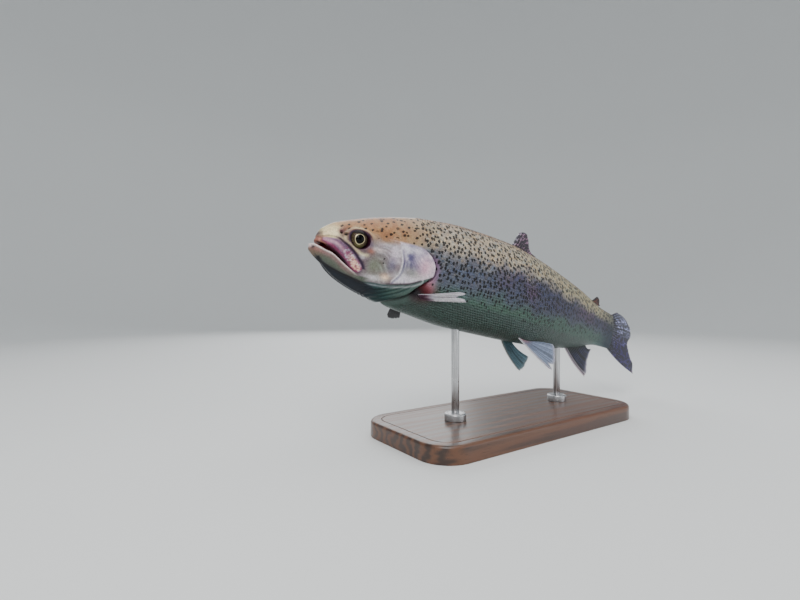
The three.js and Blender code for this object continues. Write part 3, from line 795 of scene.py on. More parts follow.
@dataclass(frozen=True)
class Palette:
    """Screen colours of the fish, 0 to 255."""

    back_front: Colour = (176, 164, 146)
    back_rear: Colour = (166, 158, 128)
    ridge: Colour = (132, 96, 72)
    stripe_front: Colour = (92, 98, 112)
    stripe_rear: Colour = (66, 68, 92)
    stripe_rose: Colour = (104, 72, 96)
    flank: Colour = (74, 102, 88)
    flank_rear: Colour = (68, 94, 84)
    # belly: the silver underside painted a dark green-grey, as painted shade of the underside lit from above
    belly: Colour = (66, 112, 102)
    # belly_front_shade: the belly's front, painted darker as the shadow under the head and the pectoral fins
    belly_front_shade: Colour = (66, 84, 78)
    tail_root: Colour = (26, 40, 60)
    head_top: Colour = (162, 118, 78)
    nape: Colour = (160, 138, 108)
    snout: Colour = (212, 198, 156)
    snout_tip: Colour = (30, 14, 36)
    upper_lip: Colour = (180, 122, 104)
    face: Colour = (98, 80, 86)
    cheek: Colour = (132, 124, 126)
    cheek_green: Colour = (108, 120, 96)
    cheek_gold: Colour = (250, 216, 184)
    cover: Colour = (216, 202, 214)
    cover_blue: Colour = (54, 54, 92)
    cover_rose: Colour = (214, 166, 182)
    # white: a pale colour of its own, also laid as painted highlights on the cheek and on the preopercle's
    # ridge
    white: Colour = (226, 222, 228)
    maxilla: Colour = (120, 50, 82)
    # maxilla_highlight: a painted pale pink highlight along the middle of the upper jaw bone
    maxilla_highlight: Colour = (214, 168, 180)
    maxilla_violet: Colour = (112, 88, 114)
    maxilla_gold: Colour = (232, 182, 156)
    # groove: dark purple, laid as painted shade in creases by the upper jaw bone and round the eye, and as
    # blotches on the crown
    groove: Colour = (34, 16, 44)
    red_shadow: Colour = (56, 10, 22)
    brow: Colour = (196, 178, 138)
    orange: Colour = (180, 108, 84)
    # mouth: the red lining, darkened almost to black as painted shade inside the open mouth
    mouth: Colour = (64, 4, 12)
    # lip: the pale lips, also laid as a painted pink highlight behind the eye
    lip: Colour = (250, 232, 228)
    jaw: Colour = (82, 90, 78)
    jaw_rose: Colour = (150, 112, 112)
    # jaw_underside_shade: the lower jaw's underside, painted near black as its shadow
    jaw_underside_shade: Colour = (4, 16, 28)
    throat: Colour = (24, 50, 50)
    gill_red: Colour = (92, 18, 26)
    branch: Colour = (90, 110, 100)
    membrane: Colour = (120, 98, 124)
    # dark: near black, for dark lines and dots, and as painted shade in the nostrils, the jaw fold and the
    # gill slit
    dark: Colour = (10, 7, 12)


PALETTE = Palette()


@dataclass
class Paint:
    """Screen colours laid over each other at the skin's points."""

    view: SideView

    def __post_init__(self) -> None:
        """Start with black."""
        self.tone = np.zeros((*self.view.x.shape, 3))

    def lay(self, colour: Colour, cover: np.ndarray) -> None:
        """Lay a colour where cover is above 0."""
        share = np.clip(cover, 0, 1)[..., None]
        self.tone = self.tone * (1 - share) + np.array(colour) * share

    def dab(
        self, colour: Colour, cover: np.ndarray | float, at: tuple[float, float], wide: float, tall: float
    ) -> None:
        """Lay a soft oval patch of a colour.

        Args:
            colour: The colour.
            cover: How much of it shows at the middle.
            at: The middle, along and above the straight body, in millimetres.
            wide: How far it reaches to the front and back, in millimetres.
            tall: How far it reaches up and down, in millimetres.
        """
        self.lay(colour, cover * spot(self.view.x, self.view.z, at, wide, tall))


@dataclass
class TroutSkin:
    """The one skin of the whole body, sculpted and painted."""

    name: str = "trout_skin"
    columns: int = 280
    nose_rows: int = 14
    nose_round: float = 4
    head_step: float = 0.56
    head_to: float = 118
    trunk_step: float = 2.7
    end: float = 446
    head_inset: float = 0.15
    coat_depth: float = 0.38
    gill_drop: float = 2.4
    section_points: int = 1441

    def stations(self) -> tuple[np.ndarray, np.ndarray]:
        """Space the rows along the body.

        Returns:
            The station and the size, as a share of the full section, of each row.
        """
        lean = np.linspace(0.1, math.pi / 2, self.nose_rows)
        nose = self.nose_round * (1 - np.cos(lean))
        head = np.arange(self.nose_round + self.head_step, self.head_to, self.head_step)
        trunk = np.arange(self.head_to, self.end, self.trunk_step)
        full = np.ones(len(head) + len(trunk))
        return np.concatenate([nose, head, trunk]), np.concatenate([np.sin(lean), full])

    def bare(self) -> tuple[np.ndarray, np.ndarray]:
        """Lay out the smooth body.

        Returns:
            The points as rows round the body from the belly up the left side, and the way round in
            millimetres from the back.
        """
        at, share = self.stations()
        turn = np.linspace(-math.pi / 2, 1.5 * math.pi, self.section_points)
        points = np.zeros((len(at), self.columns, 3))
        round_back = np.zeros((len(at), self.columns))
        for row, (station, size) in enumerate(zip(at, share)):
            y, z = BODY.section(np.full(turn.shape, station), turn)
            run = np.concatenate([[0], np.cumsum(np.hypot(np.diff(y), np.diff(z)))])
            angle = np.interp(np.arange(self.columns) / self.columns * run[-1], run, turn)
            y, z = BODY.section(np.full(angle.shape, station), angle)
            x = BODY.set_back(np.full(angle.shape, station), z * size)
            points[row] = np.stack([x, y * size, z * size], 1)
            round_back[row] = (np.arange(self.columns) / self.columns - 0.5) * run[-1]
        return points, round_back

    def normals(self, points: np.ndarray) -> np.ndarray:
        """Work out the directions straight out of the surface."""
        along = np.gradient(points, axis=0)
        around = np.roll(points, -1, 1) - np.roll(points, 1, 1)
        return unit(np.cross(along, around))

    def bulge_chin(self, points: np.ndarray) -> np.ndarray:
        """Round the tip of the lower jaw out into a blunt knob."""
        centre = np.array([HeadLines.chin[0], 0, HeadLines.chin[1]])
        way = (points - centre) / np.array(HeadLines.chin_reach)
        far = np.maximum(np.linalg.norm(way, axis=-1), 0.05)
        out = (far + 1 + np.sqrt((far - 1) ** 2 + 0.02)) / 2
        blend = np.where(far < 1.8, out, far)
        ease = 1 - ramp(far, 1.3, 1.8)
        return centre + (points - centre) * ((blend * ease + far * (1 - ease)) / far)[..., None]

    def relief(self, view: SideView) -> np.ndarray:
        """Give how far each point stands out of the smooth body, in millimetres."""
        x, y, z = view.x, view.y, view.z
        above_eye = ramp(z - 6 - 0.25 * (x - 37.5), -3, 6)
        out = 0.45 * bump(view.eye, 9.7, 1.1) + 0.8 * above_eye * bump(view.eye, 10.9, 1.7)
        out -= 0.5 * bump(view.eye, 13.6, 1.5) * above_eye
        out -= 4.6 * (1 - ramp(view.eye, 6.1, 8.8))
        for at, height, wide in HeadLines.nostrils:
            ring = np.hypot(x - at, z - height)
            out += 0.4 * bump(ring, wide + 0.9, 0.6) - 1.5 * bump(ring, 0, wide)
        upper = ramp(-z, -6, 14)
        out += ramp(view.maxilla, -0.35, 0.9) - 0.65 * bump(view.maxilla, -0.9, 0.7) * (view.over_mouth > 1)
        out -= 0.25 * bump(view.maxilla, 2.6, 0.9) * ramp(x, 12, 20)
        lip = 1 - ramp(x, 32, 42)
        out += 0.65 * lip * bump(view.over_mouth, -1.7, 1.2) * ramp(x, 0, 3)
        out -= 0.55 * lip * bump(view.over_mouth, -4.6, 1.0)
        out += 0.45 * bump(view.over_mouth, 3.0, 1.2) * (1 - ramp(x, 8, 14))
        out -= 0.35 * bump(view.over_mouth, 5.2, 1.0) * (1 - ramp(x, 7, 12)) * ramp(x, 3, 6)
        out -= 0.8 * bump(view.fold, 0, 1.0) * (1 - ramp(x, 50, 62))
        out += 0.4 * bump(view.lacrimal, 0, 1.5) * (1 - ramp(x, 42, 48))
        out += 0.9 * spot(x, z, (56, -12), 9, 9) - 0.5 * spot(x, z, (47, -3), 4, 4)
        out += 0.5 * bump(view.preopercle, -1.0, 1.1) - 0.6 * bump(view.preopercle, 0.7, 0.9)
        out -= 0.5 * bump(view.subopercle, 0, 0.8) + 0.45 * bump(view.gill_top, 0, 1.0) * upper
        out -= 0.3 * bump(view.preopercle, 9, 2.2) * spot(x, z, (60, -6), 14, 10)
        out += self.gill_relief(view)
        ribs = np.cos(view.gill / HeadLines.gill_ray_step * 2 * math.pi)
        ribs = ribs * ramp(-view.subopercle, 1.5, 4) * ramp(x, 46, 58)
        out += 0.28 * ribs * ramp(view.gill, 1.5, 3) * (1 - ramp(view.gill, 20, 28)) * (1 - ramp(x, 92, 100))
        keel = ramp(-z, 8, 16) * (1 - ramp(x, 60, 76)) * ramp(x, 9, 16)
        out += keel * (0.35 * bump(np.abs(y), 3, 1.2) - 0.9 * bump(y, 0, 1.5))
        crown = ramp(z, 8, 20) * (1 - ramp(x, 84, 98))
        out -= 0.35 * crown * bump(np.abs(y), 4.5, 1.6) * ramp(x, 26, 40)
        low = ramp(-z, 25, 38)
        out += low * (0.5 * bump(np.hypot(x - 346, y), 5, 1.6) - 0.9 * bump(y, 0, 1.5) * bump(x, 346, 3.2))
        out += 1.2 * spot(x, z, (113, -28), 6, 5) * ramp(x, 104, 109)
        out += 0.7 * low * bump(x, 254, 8) * bump(np.abs(y), 15, 5)
        return out

    def gill_relief(self, view: SideView) -> np.ndarray:
        """Raise the gill cover, whose free edge stands over the slit behind it."""
        x, z = view.x, view.z
        near = ramp(x, 56, 68)
        plate = ramp(view.gill, -0.1, 0.9) * near * ramp(-z, -13.8, -11.5)
        plate = plate * (1 - 0.8 * ramp(-view.subopercle, 0, 5)) + 0.35 * bump(view.gill, 1.6, 1.4) * near
        behind = (view.gill < 0) * (1 - ramp(z, 8, 14)) * near
        slit = behind * bump(view.gill, -0.9, 1.5) * self.gill_drop
        shelf = behind * (1 - ramp(-view.gill, 2, 7)) * 0.9
        wedge = spot(x, z, (104, -23), 7.5, 5.6) * (view.gill < 0.2) * 3.0
        return plate - slit - shelf - wedge

    def open_mouth(self, points: np.ndarray, view: SideView) -> np.ndarray:
        """Press the mouth open: the lips part round a dark core that closes the view through."""
        front = 1 - ramp(view.x, 6, 15)
        pushed = points.copy()
        pushed[..., 0] += view.slot * front * 6.5
        pushed[..., 1] *= 1 - view.slot * (0.66 - 0.2 * front)
        return pushed

    def paint(self, view: SideView) -> np.ndarray:
        """Paint the skin in linear colours."""
        paint = Paint(view)
        self.paint_body(paint)
        self.paint_head(paint)
        self.paint_face(paint)
        return linear(paint.tone)

    def paint_body(self, paint: Paint) -> None:
        """Lay the back, the side stripe, the flank and the belly."""
        view, lay, p = paint.view, paint.lay, PALETTE
        x, z = view.x, view.z
        rear = ramp(x, 150, 380)
        middle = np.interp(x, [90, 165, 220, 292, 350, 401, 446], [2, 4, 9, 7, 5, 3, 0])
        half = np.interp(x, [90, 165, 220, 292, 350, 401, 446], [14, 15, 16, 13, 10, 8, 8])
        drift = 0.7 * (clouds(x, z, 14, 5) - 0.5) + 0.5 * (clouds(x, z, 6, 6) - 0.5)
        over = (z - middle) / half + drift
        # The belly's colour underlies all: darker and greener than a silver belly, painted shade of the
        # underside.
        lay(p.belly, np.ones(x.shape))
        # Painted shadow: the belly darker at its front, under the head and the pectoral fins.
        lay(p.belly_front_shade, 1 - ramp(x, 120, 200))
        low = -z / BODY.curve(2, x)
        lay(p.flank, ramp(-low, -0.98, -0.72))
        lay(p.flank_rear, ramp(-low, -0.98, -0.72) * rear)
        stripe = ramp(over, -2.0, -0.5)
        lay(p.stripe_front, stripe)
        lay(p.stripe_rear, stripe * ramp(x, 130, 280))
        wave = ramp(clouds(x, z, 22, 7), 0.25, 0.8)
        lay(p.stripe_rose, stripe * 0.45 * wave * ramp(x, 150, 240) * (1 - ramp(np.abs(over), 0.4, 1)))
        back = ramp(over, 0.1, 1.75)
        lay(p.back_front, back)
        lay(p.back_rear, back * rear)
        top = z / BODY.curve(1, x)
        lay(p.ridge, 0.65 * ramp(top, 0.84, 1))
        lay(p.white, 0.55 * spot(x, np.abs(view.y), (247, 17), 9, 3.2) * ramp(-z, 34, 40))
        lay(p.tail_root, 0.9 * ramp(x, 395, 446) * (1 - 0.6 * back))

    def paint_head(self, paint: Paint) -> None:
        """Lay the crown, the cheek, the gill cover and the throat."""
        view, lay, dab, p = paint.view, paint.lay, paint.dab, PALETTE
        x, z = view.x, view.z
        head = np.maximum(ramp(view.gill, -0.5, 0.5), 1 - ramp(x, 88, 94)) * (1 - ramp(x, 110, 113))
        crown = 1 - ramp(x, 84, 128)
        edge = np.interp(x, [0, 30, 50, 70, 100], [2, 9, 6, 10, 15])
        upper = ramp(z - edge, -3, 4)
        lay(p.cheek, head * (1 - upper))
        lay(p.nape, crown * upper * 0.9)
        lay(p.head_top, upper * (1 - ramp(x, 62, 104)))
        blotch = clouds(x, z, 5.5, 1) + clouds(x, z, 2.6, 2) - 1
        lay(p.groove, 0.22 * np.clip(blotch, 0, 1) * upper * (1 - ramp(x, 92, 110)))
        lay(p.nape, 0.9 * np.clip(-blotch, 0, 1) * upper * (1 - ramp(x, 92, 110)))
        lay(p.face, (1 - ramp(x, 40, 52)) * (1 - upper))
        cheek = ramp(x, 44, 52) * (1 - ramp(view.preopercle, -1, 1)) * (1 - upper)
        cheek = cheek * ramp(view.subopercle, -1, 1)
        stroke = np.arctan2(z - 3, x - 42)
        lines = 0.5 + 0.5 * np.sin(stroke * 31 + 1.5 * np.sin(x * 0.4) + 2 * np.sin(stroke * 7))
        lay(p.white, cheek * lines**4 * 0.4 * ramp(x, 50, 58))
        lay(p.face, cheek * (1 - lines) ** 4 * 0.3 * ramp(x, 50, 58))
        lay(p.white, cheek * ramp(clouds(x, z, 4.5, 11), 0.55, 0.95) * 0.45)
        lay(p.face, cheek * ramp(clouds(x, z, 4.5, 12), 0.6, 1) * 0.5)
        dab(p.cheek_green, 0.7 * cheek, (52, -13), 12, 8)
        cover = head * ramp(view.preopercle, -3, 2) * ramp(view.subopercle, -1, 2)
        cover = cover * ramp(view.gill, -0.3, 0.4) * (1 - ramp(view.gill_top, -1.5, 1.5)) * ramp(x, 58, 70)
        lay(p.cover, cover)
        dab(p.cover, 0.8, (70, 1), 7, 10)
        dab(p.cover_blue, 0.85 * cover, (84, 1), 6, 10)
        dab(p.cover_blue, 0.6 * cover, (92, -5), 9, 4)
        dab(p.cover_blue, 0.4, (68, -9), 4, 6)
        turn, reach = np.arctan2(z - 13, x - 74), np.hypot(x - 74, z - 13)
        fan = 0.5 + 0.5 * np.sin(turn * 46 + 1.6 * np.sin(reach * 0.31) + 2.2 * np.sin(turn * 9))
        rough = 1.6 * clouds(x, z, 5, 8)
        lay(p.white, cover * fan**3 * 0.26 * rough * ramp(reach, 5, 12))
        lay(p.cover_blue, cover * (1 - fan) ** 3 * 0.22 * rough * ramp(reach, 5, 12))
        haze = clouds(x, z, 7, 9) * 0.6 + clouds(x, z, 3, 10) * 0.4
        lay(p.white, cover * ramp(haze, 0.5, 0.85) * 0.7)
        lay(p.cover_blue, cover * ramp(haze, 0.5, 0.15) * 0.45)
        dab(p.cheek_green, 0.5 * cover, (89, -11), 11, 5)
        dab(p.cover_rose, 0.8 * cover, (101, -3), 8, 9)
        dab(p.white, 0.6 * cover, (88, 9), 12, 3.4)
        dab(p.white, 0.5 * cover, (90, -17), 14, 3)
        dab(p.cheek_gold, 0.95, (65.5, -20), 4.6, 3)
        dab(p.white, 0.6, (55, -22.5), 9, 2)
        # Painted shadow: the belly low behind the gill edge, darkened like the belly's front.
        lay(p.belly_front_shade, (view.gill < 0.3) * ramp(-z, 22, 28))
        below = ramp(-view.subopercle, 0, 2) * ramp(view.gill, -0.3, 0.5) * ramp(x, 44, 50)
        lay(p.throat, below)
        ribs = 0.5 + 0.5 * np.cos(view.gill / HeadLines.gill_ray_step * 2 * math.pi)
        lay(p.branch, below * ramp(x, 62, 80) * ramp(-z, 40, 30) * 0.8)
        lay(p.throat, below * (1 - ribs) * 0.5 * ramp(view.gill, 1.5, 4))
        lay(p.white, below * bump(view.subopercle, -2.6, 1.0) * 0.5)
        lay(p.dark, 0.6 * bump(view.subopercle, 0, 0.7) * ramp(x, 62, 76))
        # Painted highlight on the preopercle's ridge, and painted shade, a blue-grey line, in the groove
        # behind it.
        lay(p.white, 0.95 * bump(view.preopercle, -0.7, 1.0) * (1 - ramp(z, 5, 9)))
        lay(p.cover_blue, 0.35 * bump(view.preopercle, 1.0, 0.9) * (1 - ramp(z, 4, 8)))

    def paint_face(self, paint: Paint) -> None:
        """Lay the jaws, the lips, the rim of the eye and the gill slit."""
        view, lay, dab, p = paint.view, paint.lay, paint.dab, PALETTE
        x, z = view.x, view.z
        above = ramp(view.over_mouth, -0.5, 0.5)
        lay(p.snout, (1 - ramp(x, 17, 30)) * above * ramp(z, -1, 3))
        lay(p.head_top, 0.5 * (1 - ramp(x, 24, 34)) * ramp(z, 11, 16))
        lay(p.upper_lip, (1 - ramp(x, 9, 15)) * above * (1 - ramp(z, -0.5, 4)) * 0.85)
        dab(p.snout_tip, 1, (4.2, 4.4), 2.8, 2.2)
        dab(p.face, 0.85 * above, (29, 4.5), 6.5, 5)
        dab(p.groove, 0.45, (46.5, 4), 2.6, 6)
        dab(p.cheek, 0.6, (52, 8), 6, 4.5)
        # Painted highlights: a pink and a white patch on the cheek behind the eye.
        dab(p.lip, 0.6, (54, 1), 6, 2.2)
        dab(p.white, 0.5, (60, 6.5), 8, 2.4)
        lay(p.snout, 0.95 * bump(view.lacrimal, 0, 1.6) * (1 - ramp(x, 43, 50)))
        dab(p.orange, 0.6, (47.5, -1.8), 3.4, 2.4)
        dab(p.white, 0.6, (41, -8.6), 3.4, 2.2)
        # Painted shade: a dark line in the crease along the upper edge of the upper jaw bone.
        lay(p.groove, 0.9 * ramp(x, 15, 22) * bump(view.maxilla, -1.1, 1.2) * above * (z > -18))
        lay(p.red_shadow, 0.85 * spot(x, z, (26, 9.4), 4.4, 4.4) + 0.6 * spot(x, z, (21.2, 9.2), 2.0, 1.8))
        plate = ramp(view.maxilla, -0.2, 0.6)
        across = view.over_mouth - view.gape
        lay(p.maxilla_violet, plate)
        # Painted highlight: a pale pink streak along the middle of the upper jaw bone.
        lay(p.maxilla_highlight, 0.72 * plate * bump(across, np.interp(x, [8, 20, 40], [2.6, 5.6, 6]), 2.1))
        lay(p.maxilla, plate * (1 - ramp(across, 1.6, 3.4)))
        lay(p.maxilla_gold, plate * ramp(x, 27, 37) * ramp(view.maxilla, 1.0, 2.2))
        flecks = 0.35 * clouds(x, z, 2.2, 3) + 0.65 * clouds(x, z, 0.95, 4)
        lay(p.maxilla, plate * 0.75 * ramp(flecks, 0.5, 0.72) * ramp(x, 20, 30))
        lay(p.white, plate * 0.7 * ramp(flecks, 0.42, 0.24) * ramp(x, 20, 30) * ramp(view.maxilla, 0.5, 1.6))
        jaw = (1 - ramp(view.over_mouth, -1.2, -0.2)) * (1 - ramp(x, 46, 56))
        lay(p.jaw, jaw)
        lay(p.jaw_rose, jaw * 0.8 * bump(view.over_mouth, -view.gape - 2.6, 2.2) * (1 - ramp(x, 30, 44)))
        lay(p.orange, jaw * 0.3 * (1 - ramp(x, 4, 14)))
        lay(p.lip, jaw * bump(view.over_mouth, -view.gape - 0.5, 1.1) * (1 - ramp(x, 36, 46)))
        lay(p.lip, jaw * 0.85 * (1 - ramp(x, 2.4, 4.4)) * ramp(z, -11, -7))
        dab(p.dark, 0.8, (2.6, -8.6), 1.1, 1.2)
        # Painted shadow: the underside of the lower jaw, below the fold, near black.
        under = (1 - ramp(view.fold, -1, 1.5)) * (1 - ramp(x, 52, 70)) * ramp(x, 4, 12)
        lay(p.jaw_underside_shade, under)
        # Painted shade: a dark line in the fold under the lower jaw.
        lay(p.dark, 0.8 * bump(view.fold, 0, 0.9) * (1 - ramp(x, 46, 58)))
        over_eye = ramp(z - 6 - 0.35 * (x - 37.5), -3, 3)
        # Painted shadow: a dark band over the eye, under the brow.
        lay(p.groove, 0.9 * (1 - ramp(view.eye, 9.6, 11.2)) * over_eye)
        brow = bump(view.eye, 12.2, 2.3) * over_eye * (0.72 + 0.28 * np.sin(x * 0.42 - 1.2))
        lay(p.brow, brow)
        # Painted shade: the wall of the eye socket darkened round the eyeball.
        lay(p.groove, 0.75 * (1 - ramp(view.eye, 8.2, 9.2)))
        lay(p.red_shadow, 0.55 * (1 - ramp(view.eye, 7.8, 8.8)))
        # The mouth's red lining: partly its own colour, partly painted shade inside the open mouth.
        lay(p.mouth, ramp(view.slot, 0.25, 0.7))
        # Painted shade: the nostril pits painted near black.
        for at, height, wide in HeadLines.nostrils:
            lay(p.dark, 0.95 * bump(np.hypot(x - at, z - height), 0, wide * 1.05))
        slit = (view.gill < 0.1) * (1 - ramp(z, 6, 13)) * ramp(x, 60, 74)
        lay(p.gill_red, slit * bump(view.gill, -1.2, 1.3) * (0.15 + 0.6 * ramp(z, -30, -20)))
        wedge = (view.gill < 0.2) * ramp(x, 92, 98)
        lay(p.membrane, wedge * 0.9 * ramp(view.gill, -7.5, -3.5) * (1 - ramp(z, 6, 12)) * ramp(z, -20, -12))
        dab(p.cover_rose, 0.8 * wedge, (110.5, -18.5), 5.5, 7)
        dab(p.gill_red, wedge, (106, -24), 11, 7.5)
        dab(p.gill_red, 0.85 * wedge, (104.5, -17), 2.6, 7)
        # Painted shade: dark in the slit under the gill cover's free edge and in the sunk wedge below it.
        lay(p.dark, slit * bump(view.gill, -0.6, 0.9) * (0.95 - 0.8 * ramp(z, -16, -9)))
        dab(p.dark, 0.95 * wedge, (100.5, -27), 8, 4.6)

    def marks(self, view: SideView) -> np.ndarray:
        """Give the strength of the body's spots, of the head's spots and of the silver gloss."""
        x, z = view.x, view.z
        clear = np.interp(x, [100, 150, 250, 340, 446], [-24, -34, -40, -34, -24])
        body = 0.5 * ramp(z - clear, 0, 14) + 0.55 * ramp(z - clear, 10, 34)
        body = body * ramp(x, 84, 100) * np.where(view.gill > 0, ramp(z, 12, 16), 1)
        head = 0.95 * ramp(z - 9 - 0.05 * x, -2, 5) * (1 - ramp(x, 88, 102)) * ramp(view.eye, 12, 14)
        head = head * ramp(x, 12, 20)
        head = np.maximum(head, 0.55 * spot(x, z, (55.6, -7), 6, 5))
        silver = 0.22 * (1 - ramp(z, 0, 26)) + 0.06
        silver = silver + 0.2 * ramp(x, 50, 62) * ramp(view.gill, 0, 1) * (1 - ramp(x, 108, 116)) * (z < 12)
        silver = silver * (1 - 0.8 * ramp(view.slot, 0.2, 0.6))
        silver = silver * (1 - 0.85 * (1 - ramp(x, 50, 76)) * ramp(-z, 8, 18))
        return np.stack([body, head, silver], -1)

    def grid(self) -> SkinGrid:
        """Sculpt and paint the skin."""
        points, round_back = self.bare()
        points = self.bulge_chin(points)
        normals = self.normals(points)
        view = SideView(points[..., 0], points[..., 1], points[..., 2])
        inset = self.head_inset + (self.coat_depth - self.head_inset) * ramp(view.x, 88, 116)
        raised = points + normals * (self.relief(view) - inset)[..., None]
        opened = self.open_mouth(raised, view)
        at, _ = self.stations()
        chart = np.stack([view.x, round_back, np.zeros(view.x.shape)], -1)
        return SkinGrid(at, opened, self.normals(opened), self.paint(view), chart, self.marks(view))

    def build(self, grid: SkinGrid, finish: SkinFinish) -> bpy.types.Object:
        """Make the skin's mesh and dress it.

        Args:
            grid: The sculpted skin.
            finish: Its finish.

        Returns:
            The skin.
        """
        rows, columns = grid.points.shape[:2]
        nose = grid.points[0].mean(0, keepdims=True) - [[0.1, 0, 0]]
        rear = grid.points[-1].mean(0, keepdims=True)
        points = np.vstack([grid.points.reshape(-1, 3), nose, rear])
        quads = grid_faces(rows, columns, True)
        column = np.arange(columns)
        nxt = (column + 1) % columns
        last = (rows - 1) * columns
        front = np.stack([np.full(columns, rows * columns), column, nxt], 1)
        back = np.stack([np.full(columns, rows * columns + 1), last + nxt, last + column], 1)
        piece = mesh_object(self.name, SPINE.bend(points), [quads, front, back])
        ends = lambda values: np.vstack([values.reshape(-1, 3), values[0].mean(0), values[-1].mean(0)])
        colour_points(piece, ends(grid.tone), ends(grid.chart), ends(grid.marks))
        self.unwrap(piece, rows, columns)
        shell = ("head", "lower_jaw", "throat", "trunk_front", "trunk_rear", "tail")
        plates = (f"{part}_{side}" for part in ("gill_cover", "upper_jaw_bone") for side in ("left", "right"))
        settle(piece, "trout_skin", finish.make(), *shell, *plates)
        return piece

    def unwrap(self, piece: bpy.types.Object, rows: int, columns: int) -> None:
        """Unwrap the skin: once round across, snout to tail up."""
        layer = piece.data.uv_layers.new(name="OFBake")
        row, column = np.meshgrid(np.arange(rows - 1), np.arange(columns), indexing="ij")
        corners = [(row, column), (row + 1, column), (row + 1, column + 1), (row, column + 1)]
        across = np.stack([c / columns for _, c in corners], -1).reshape(-1)
        up = np.stack([(r + 1) / (rows + 1) for r, _ in corners], -1).reshape(-1)
        column = np.arange(columns)
        middle, ends = column + 0.5, (columns, 1)
        front = [np.stack([middle, column, column + 1], 1), np.tile([0, 1, 1], ends)]
        back = [np.stack([middle, column + 1, column], 1), np.tile([rows + 1, rows, rows], ends)]
        across = np.concatenate([across, front[0].ravel() / columns, back[0].ravel() / columns])
        up = np.concatenate([up, front[1].ravel() / (rows + 1), back[1].ravel() / (rows + 1)])
        layer.data.foreach_set("uv", np.stack([across, up], 1).astype(np.float32).ravel())


# ---- The scales ----


